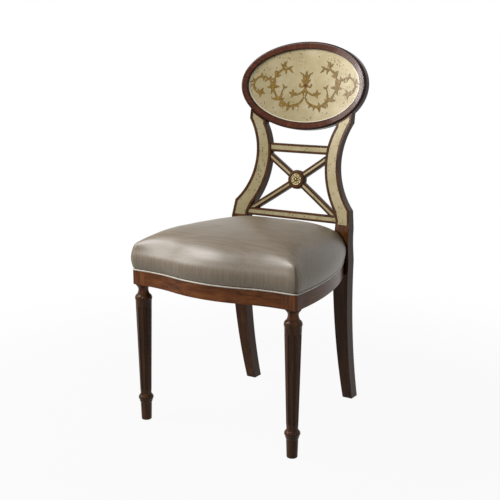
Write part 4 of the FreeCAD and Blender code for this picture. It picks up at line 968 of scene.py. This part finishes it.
# Fuller front shoulders, a sewn pleat up each front corner with an ear at its top, and faint pulls
def sewPleats(piece):
    pleat, shoulder, pulls = cushion["pleat"], cushion["shoulder"], cushion["pulls"]
    underTop, underHalf, underFront = cushion["underside"]
    for vertex in piece.data.vertices:
        co = vertex.co.copy()
        if co.z < cushion["hemTop"] or (co.z < underTop and abs(co.x) < underHalf and co.y > underFront):
            continue
        above = smoothStep(shoulder["from"], shoulder["full"], co.z)
        spot = Vector([value * often for value, often in zip(co, pulls["perMetre"])])
        moved = co + Vector((0, 0, noise.noise(spot) * pulls["height"] * above))
        for sideSign in (-1, 1):
            offset = co - frontCorner(sideSign, co.z)
            near = math.exp(-(offset.length / shoulder["reach"]) ** 2)
            moved.z += near * above * shoulder["lift"]
            if offset.length > pleat["reach"]:
                continue
            outward = Vector((sideSign, -1, 0)).normalized()
            along = sideSign * offset.dot(Vector((-outward.y, outward.x, 0)))
            fade = 1 - smoothStep(pleat["top"] - pleat["fadeBelow"], pleat["top"] + pleat["fadeAbove"], co.z)
            groove = math.exp(-(along / pleat["width"]) ** 2) * pleat["depth"]
            lip = math.exp(-((along - pleat["lipAside"]) / pleat["lipWidth"]) ** 2) * pleat["lip"]
            nearTop = math.exp(-((co.z - pleat["top"]) / pleat["earHeight"]) ** 2)
            ear = nearTop * math.exp(-(along / pleat["earWidth"]) ** 2) * pleat["ear"]
            lean = outward * pleat["earLean"] + Vector((0, 0, pleat["earLean"]))
            moved += outward * (lip - groove) * fade + lean * ear
        vertex.co = moved


def applyModifiers(piece):
    graph = bpy.context.evaluated_depsgraph_get()
    mesh = bpy.data.meshes.new_from_object(piece.evaluated_get(graph))
    piece.modifiers.clear()
    piece.data = mesh


# Keeps the cover's back from bulging out behind the posts
def tuckRear(piece):
    tuck = cushion["tuck"]
    for vertex in piece.data.vertices:
        bulge = tuck["bulge"] * smoothStep(tuck["postInner"], tuck["fullFrom"], abs(vertex.co.x))
        vertex.co.y = min(vertex.co.y, tuck["behindPosts"] + bulge)


# Cuts a piece clear of the rear posts, with a little room
def clearPosts(piece, room):
    for name in ("back_post_left", "back_post_right"):
        cutter = addObject("postRoom", nodes[name].data.copy())
        grow = cutter.modifiers.new("grow", "DISPLACE")
        grow.strength = room
        grow.mid_level = 0
        applyModifiers(cutter)
        cut = piece.modifiers.new("clear", "BOOLEAN")
        cut.operation = "DIFFERENCE"
        cut.solver = "EXACT"
        cut.object = cutter
        applyModifiers(piece)
        bpy.data.objects.remove(cutter)


silkCover = slubbedSilk("SlubbedSilk")
mesh, pinned = cushionMesh()
seatCushion = newPiece("seatCushion", mesh, silkCover)
swellCushion(seatCushion, pinned)
divide = seatCushion.modifiers.new("divide", "SUBSURF")
divide.levels = divide.render_levels = 1
applyModifiers(seatCushion)
finerCorners(seatCushion)
sewPleats(seatCushion)
tuckRear(seatCushion)
clearPosts(seatCushion, cushion["postRoom"])
seatCushion.data.materials.clear()  # the cut brings the posts' finish with it
seatCushion.data.materials.append(silkCover)
seatCushion.data.polygons.foreach_set("use_smooth", [True] * len(seatCushion.data.polygons))
seatCushion.data.set_sharp_from_angle(angle=math.radians(cushion["sharpDegrees"]))
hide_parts("seat_cover", "seat_pad")
print("cushion made:", len(seatCushion.data.vertices), "points")

# Silk-covered cord sewn under the cover's lower edge: two runs, as the posts part it
piping = {
    "radius": 0.0022,
    "height": 0.4062,
    "out": -0.00065,
    "corner": 0.008,
    "postFront": 0.1390,
    "rearReach": 0.139,
    "rearInset": 0.003,
    "rearSteps": 16,
    "sides": 12,
    "sharpDegrees": 60,
    "silk": ("#a79d8e", "#bfb6a8", "#cfc7ba"),
}


def pipingRun(name, path, material):
    made = bmesh.new()
    rings = []
    for i, point in enumerate(path):
        along = (path[min(i + 1, len(path) - 1)] - path[max(i - 1, 0)]).normalized()
        side = along.cross(Vector((0, 0, 1))).normalized()
        ring = []
        for step in range(piping["sides"]):
            turn = 2 * math.pi * step / piping["sides"]
            offset = side * math.cos(turn) + Vector((0, 0, 1)) * math.sin(turn)
            ring.append(made.verts.new(point + offset * piping["radius"]))
        rings.append(ring)
    joinRings(made, rings)
    made.faces.new(rings[0])
    made.faces.new(rings[-1])
    return newPiece(name, meshFrom(made, name, piping["sharpDegrees"]), material)


pipingSilk = slubbedSilk("SlubbedSilkPiping", piping["silk"])
hem = seatOutline(piping["out"], piping["corner"])
rearMiddle = len(hem) // 2
fromRear = [hem[(rearMiddle + i) % len(hem)] for i in range(len(hem))]
frontPath = [Vector((p.x, p.y, piping["height"])) for p in fromRear if p.y < piping["postFront"]]
frontPiping = pipingRun("pipingFront", frontPath, pipingSilk)
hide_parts("seat_welt")
rearY = seatPlan["rearY"] - piping["rearInset"] + piping["radius"]
rearPath = [
    Vector((piping["rearReach"] * (2 * i / piping["rearSteps"] - 1), rearY, piping["height"]))
    for i in range(piping["rearSteps"] + 1)
]
pipingRun("pipingRear", rearPath, pipingSilk)
print("piping made")

# Camera as the photograph was taken, in millimetres, degrees and pixels
lens = {
    "azimuth": 32.456, "elevation": 11.98, "roll": -0.051, "distance": 2386.73, "aim": (0, -12.598, 500),
    "slideRight": -14.865, "slideUp": -45.49, "focal": 923.769, "image": 500, "centreX": 252.325,
    "centreY": 246.379, "sensorMm": 36,
}


def placeCamera():
    azimuth, elevation, roll = (math.radians(lens[key]) for key in ("azimuth", "elevation", "roll"))
    level = math.cos(elevation)
    back = Vector((math.sin(azimuth) * level, -math.cos(azimuth) * level, math.sin(elevation)))
    right = Vector((math.cos(azimuth), math.sin(azimuth), 0))
    up = back.cross(right)
    rolledRight = right * math.cos(roll) + up * math.sin(roll)
    rolledUp = up * math.cos(roll) - right * math.sin(roll)
    place = Vector(lens["aim"]) + rolledRight * lens["slideRight"] + rolledUp * lens["slideUp"]
    place += back * lens["distance"]
    data = bpy.data.cameras.new("studioCamera")
    camera = addObject("studioCamera", data)
    turn = Matrix((rolledRight, rolledUp, back)).transposed()
    camera.matrix_world = Matrix.Translation(place / 1000) @ turn.to_4x4()
    data.sensor_width = lens["sensorMm"]
    data.lens = lens["sensorMm"] * lens["focal"] / lens["image"]
    data.shift_x = -(lens["centreX"] - lens["image"] / 2) / lens["image"]
    data.shift_y = (lens["centreY"] - lens["image"] / 2) / lens["image"]
    bpy.context.scene.camera = camera


placeCamera()

# Softboxes: place, aim, width and height in metres, watts and colour
softboxes = {
    "topLeft": ((-1.5, -1.05, 2.3), (0, 0, 0.5), 1.4, 0.75, 52, "#ffffff"),
    "leftFront": ((-2.15, -1.5, 1.5), (0, 0, 0.6), 1.1, 0.6, 22, "#fffaf4"),
    "leftStrip": ((-1.68, -1.26, 1.46), (0, 0, 0.3), 0.08, 0.3, 3, "#ffffff"),
    "frontStrip": ((0.5, -2.4, 1.9), (0, 0, 0.3), 0.1, 0.35, 9, "#ffffff"),
    "rightStrip": ((2.4, -0.9, 1.5), (0, 0, 0.4), 0.1, 0.4, 3, "#f6f8ff"),
}


def hangSoftbox(name, place, aim, width, height, watts, colour):
    data = bpy.data.lights.new(name, "AREA")
    data.shape = "RECTANGLE"
    data.size = width
    data.size_y = height
    data.energy = watts
    data.color = linear(colour)[:3]
    lamp = addObject(name, data)
    lamp.location = place
    lamp.rotation_euler = (Vector(aim) - Vector(place)).to_track_quat("-Z", "Y").to_euler()


for name, box in softboxes.items():
    hangSoftbox(name, *box)

studio = {
    "paper": "#8e8e8e",
    "nearWhite": 0.94,  # how white the floor is round the feet; the rest of it takes the shadow
    "fadeFrom": 0.55,
    "fadeTo": 1.5,
    "airLight": 0.2,
    "floorReach": 60,
    "floorSides": 96,
}


# 1 for the rays that see the white itself: the camera's, and those off gloss and through glass
def seenRays(tree):
    path = add(tree, "ShaderNodeLightPath")
    glossy = add(
        tree, "ShaderNodeMath", {0: (path, "Is Camera Ray"), 1: (path, "Is Glossy Ray")}, operation="MAXIMUM",
    )
    return add(
        tree, "ShaderNodeMath", {0: (glossy, 0), 1: (path, "Is Transmission Ray")}, operation="MAXIMUM",
    )


# White paper floor: just off white round the chair, where it takes a faint shadow, and pure white
# further off
def paperFloor():
    material, tree = startMaterial("WhitePaper")
    place = add(tree, "ShaderNodeTexCoord")
    distance = add(tree, "ShaderNodeVectorMath", {0: (place, "Object")}, operation="LENGTH")
    fade = add(
        tree, "ShaderNodeMapRange",
        {"Value": (distance, "Value"), "From Min": studio["fadeFrom"], "From Max": studio["fadeTo"],
         "To Min": studio["nearWhite"]},
        clamp=True, interpolation_type="SMOOTHSTEP",
    )
    seen = add(tree, "ShaderNodeMath", {0: (seenRays(tree), 0), 1: (fade, 0)}, operation="MULTIPLY")
    paper = add(tree, "ShaderNodeBsdfDiffuse", {"Color": linear(studio["paper"])})
    white = add(tree, "ShaderNodeEmission", {"Color": (1, 1, 1, 1), "Strength": 1.0})
    mixed = add(tree, "ShaderNodeMixShader", {0: (seen, 0), 1: (paper, 0), 2: (white, 0)})
    endMaterial(tree, mixed)
    made = bmesh.new()
    bmesh.ops.create_circle(made, cap_ends=True, radius=studio["floorReach"], segments=studio["floorSides"])
    mesh = bpy.data.meshes.new("paperFloor")
    made.to_mesh(mesh)
    made.free()
    floor = addObject("paperFloor", mesh)
    mesh.materials.append(material)


def studioAir():
    world = bpy.data.worlds.new("studioAir")
    world.use_nodes = True
    tree = world.node_tree
    tree.nodes.clear()
    clear = seenRays(tree)
    white = add(tree, "ShaderNodeBackground", {"Color": (1, 1, 1, 1), "Strength": 1.0})
    soft = add(tree, "ShaderNodeBackground", {"Color": (1, 1, 1, 1), "Strength": studio["airLight"]})
    mixed = add(tree, "ShaderNodeMixShader", {0: (clear, 0), 1: (soft, 0), 2: (white, 0)})
    out = add(tree, "ShaderNodeOutputWorld")
    tree.links.new(mixed.outputs[0], out.inputs["Surface"])
    bpy.context.scene.world = world


paperFloor()
studioAir()
bpy.context.scene.view_settings.view_transform = "Standard"
print("studio set")
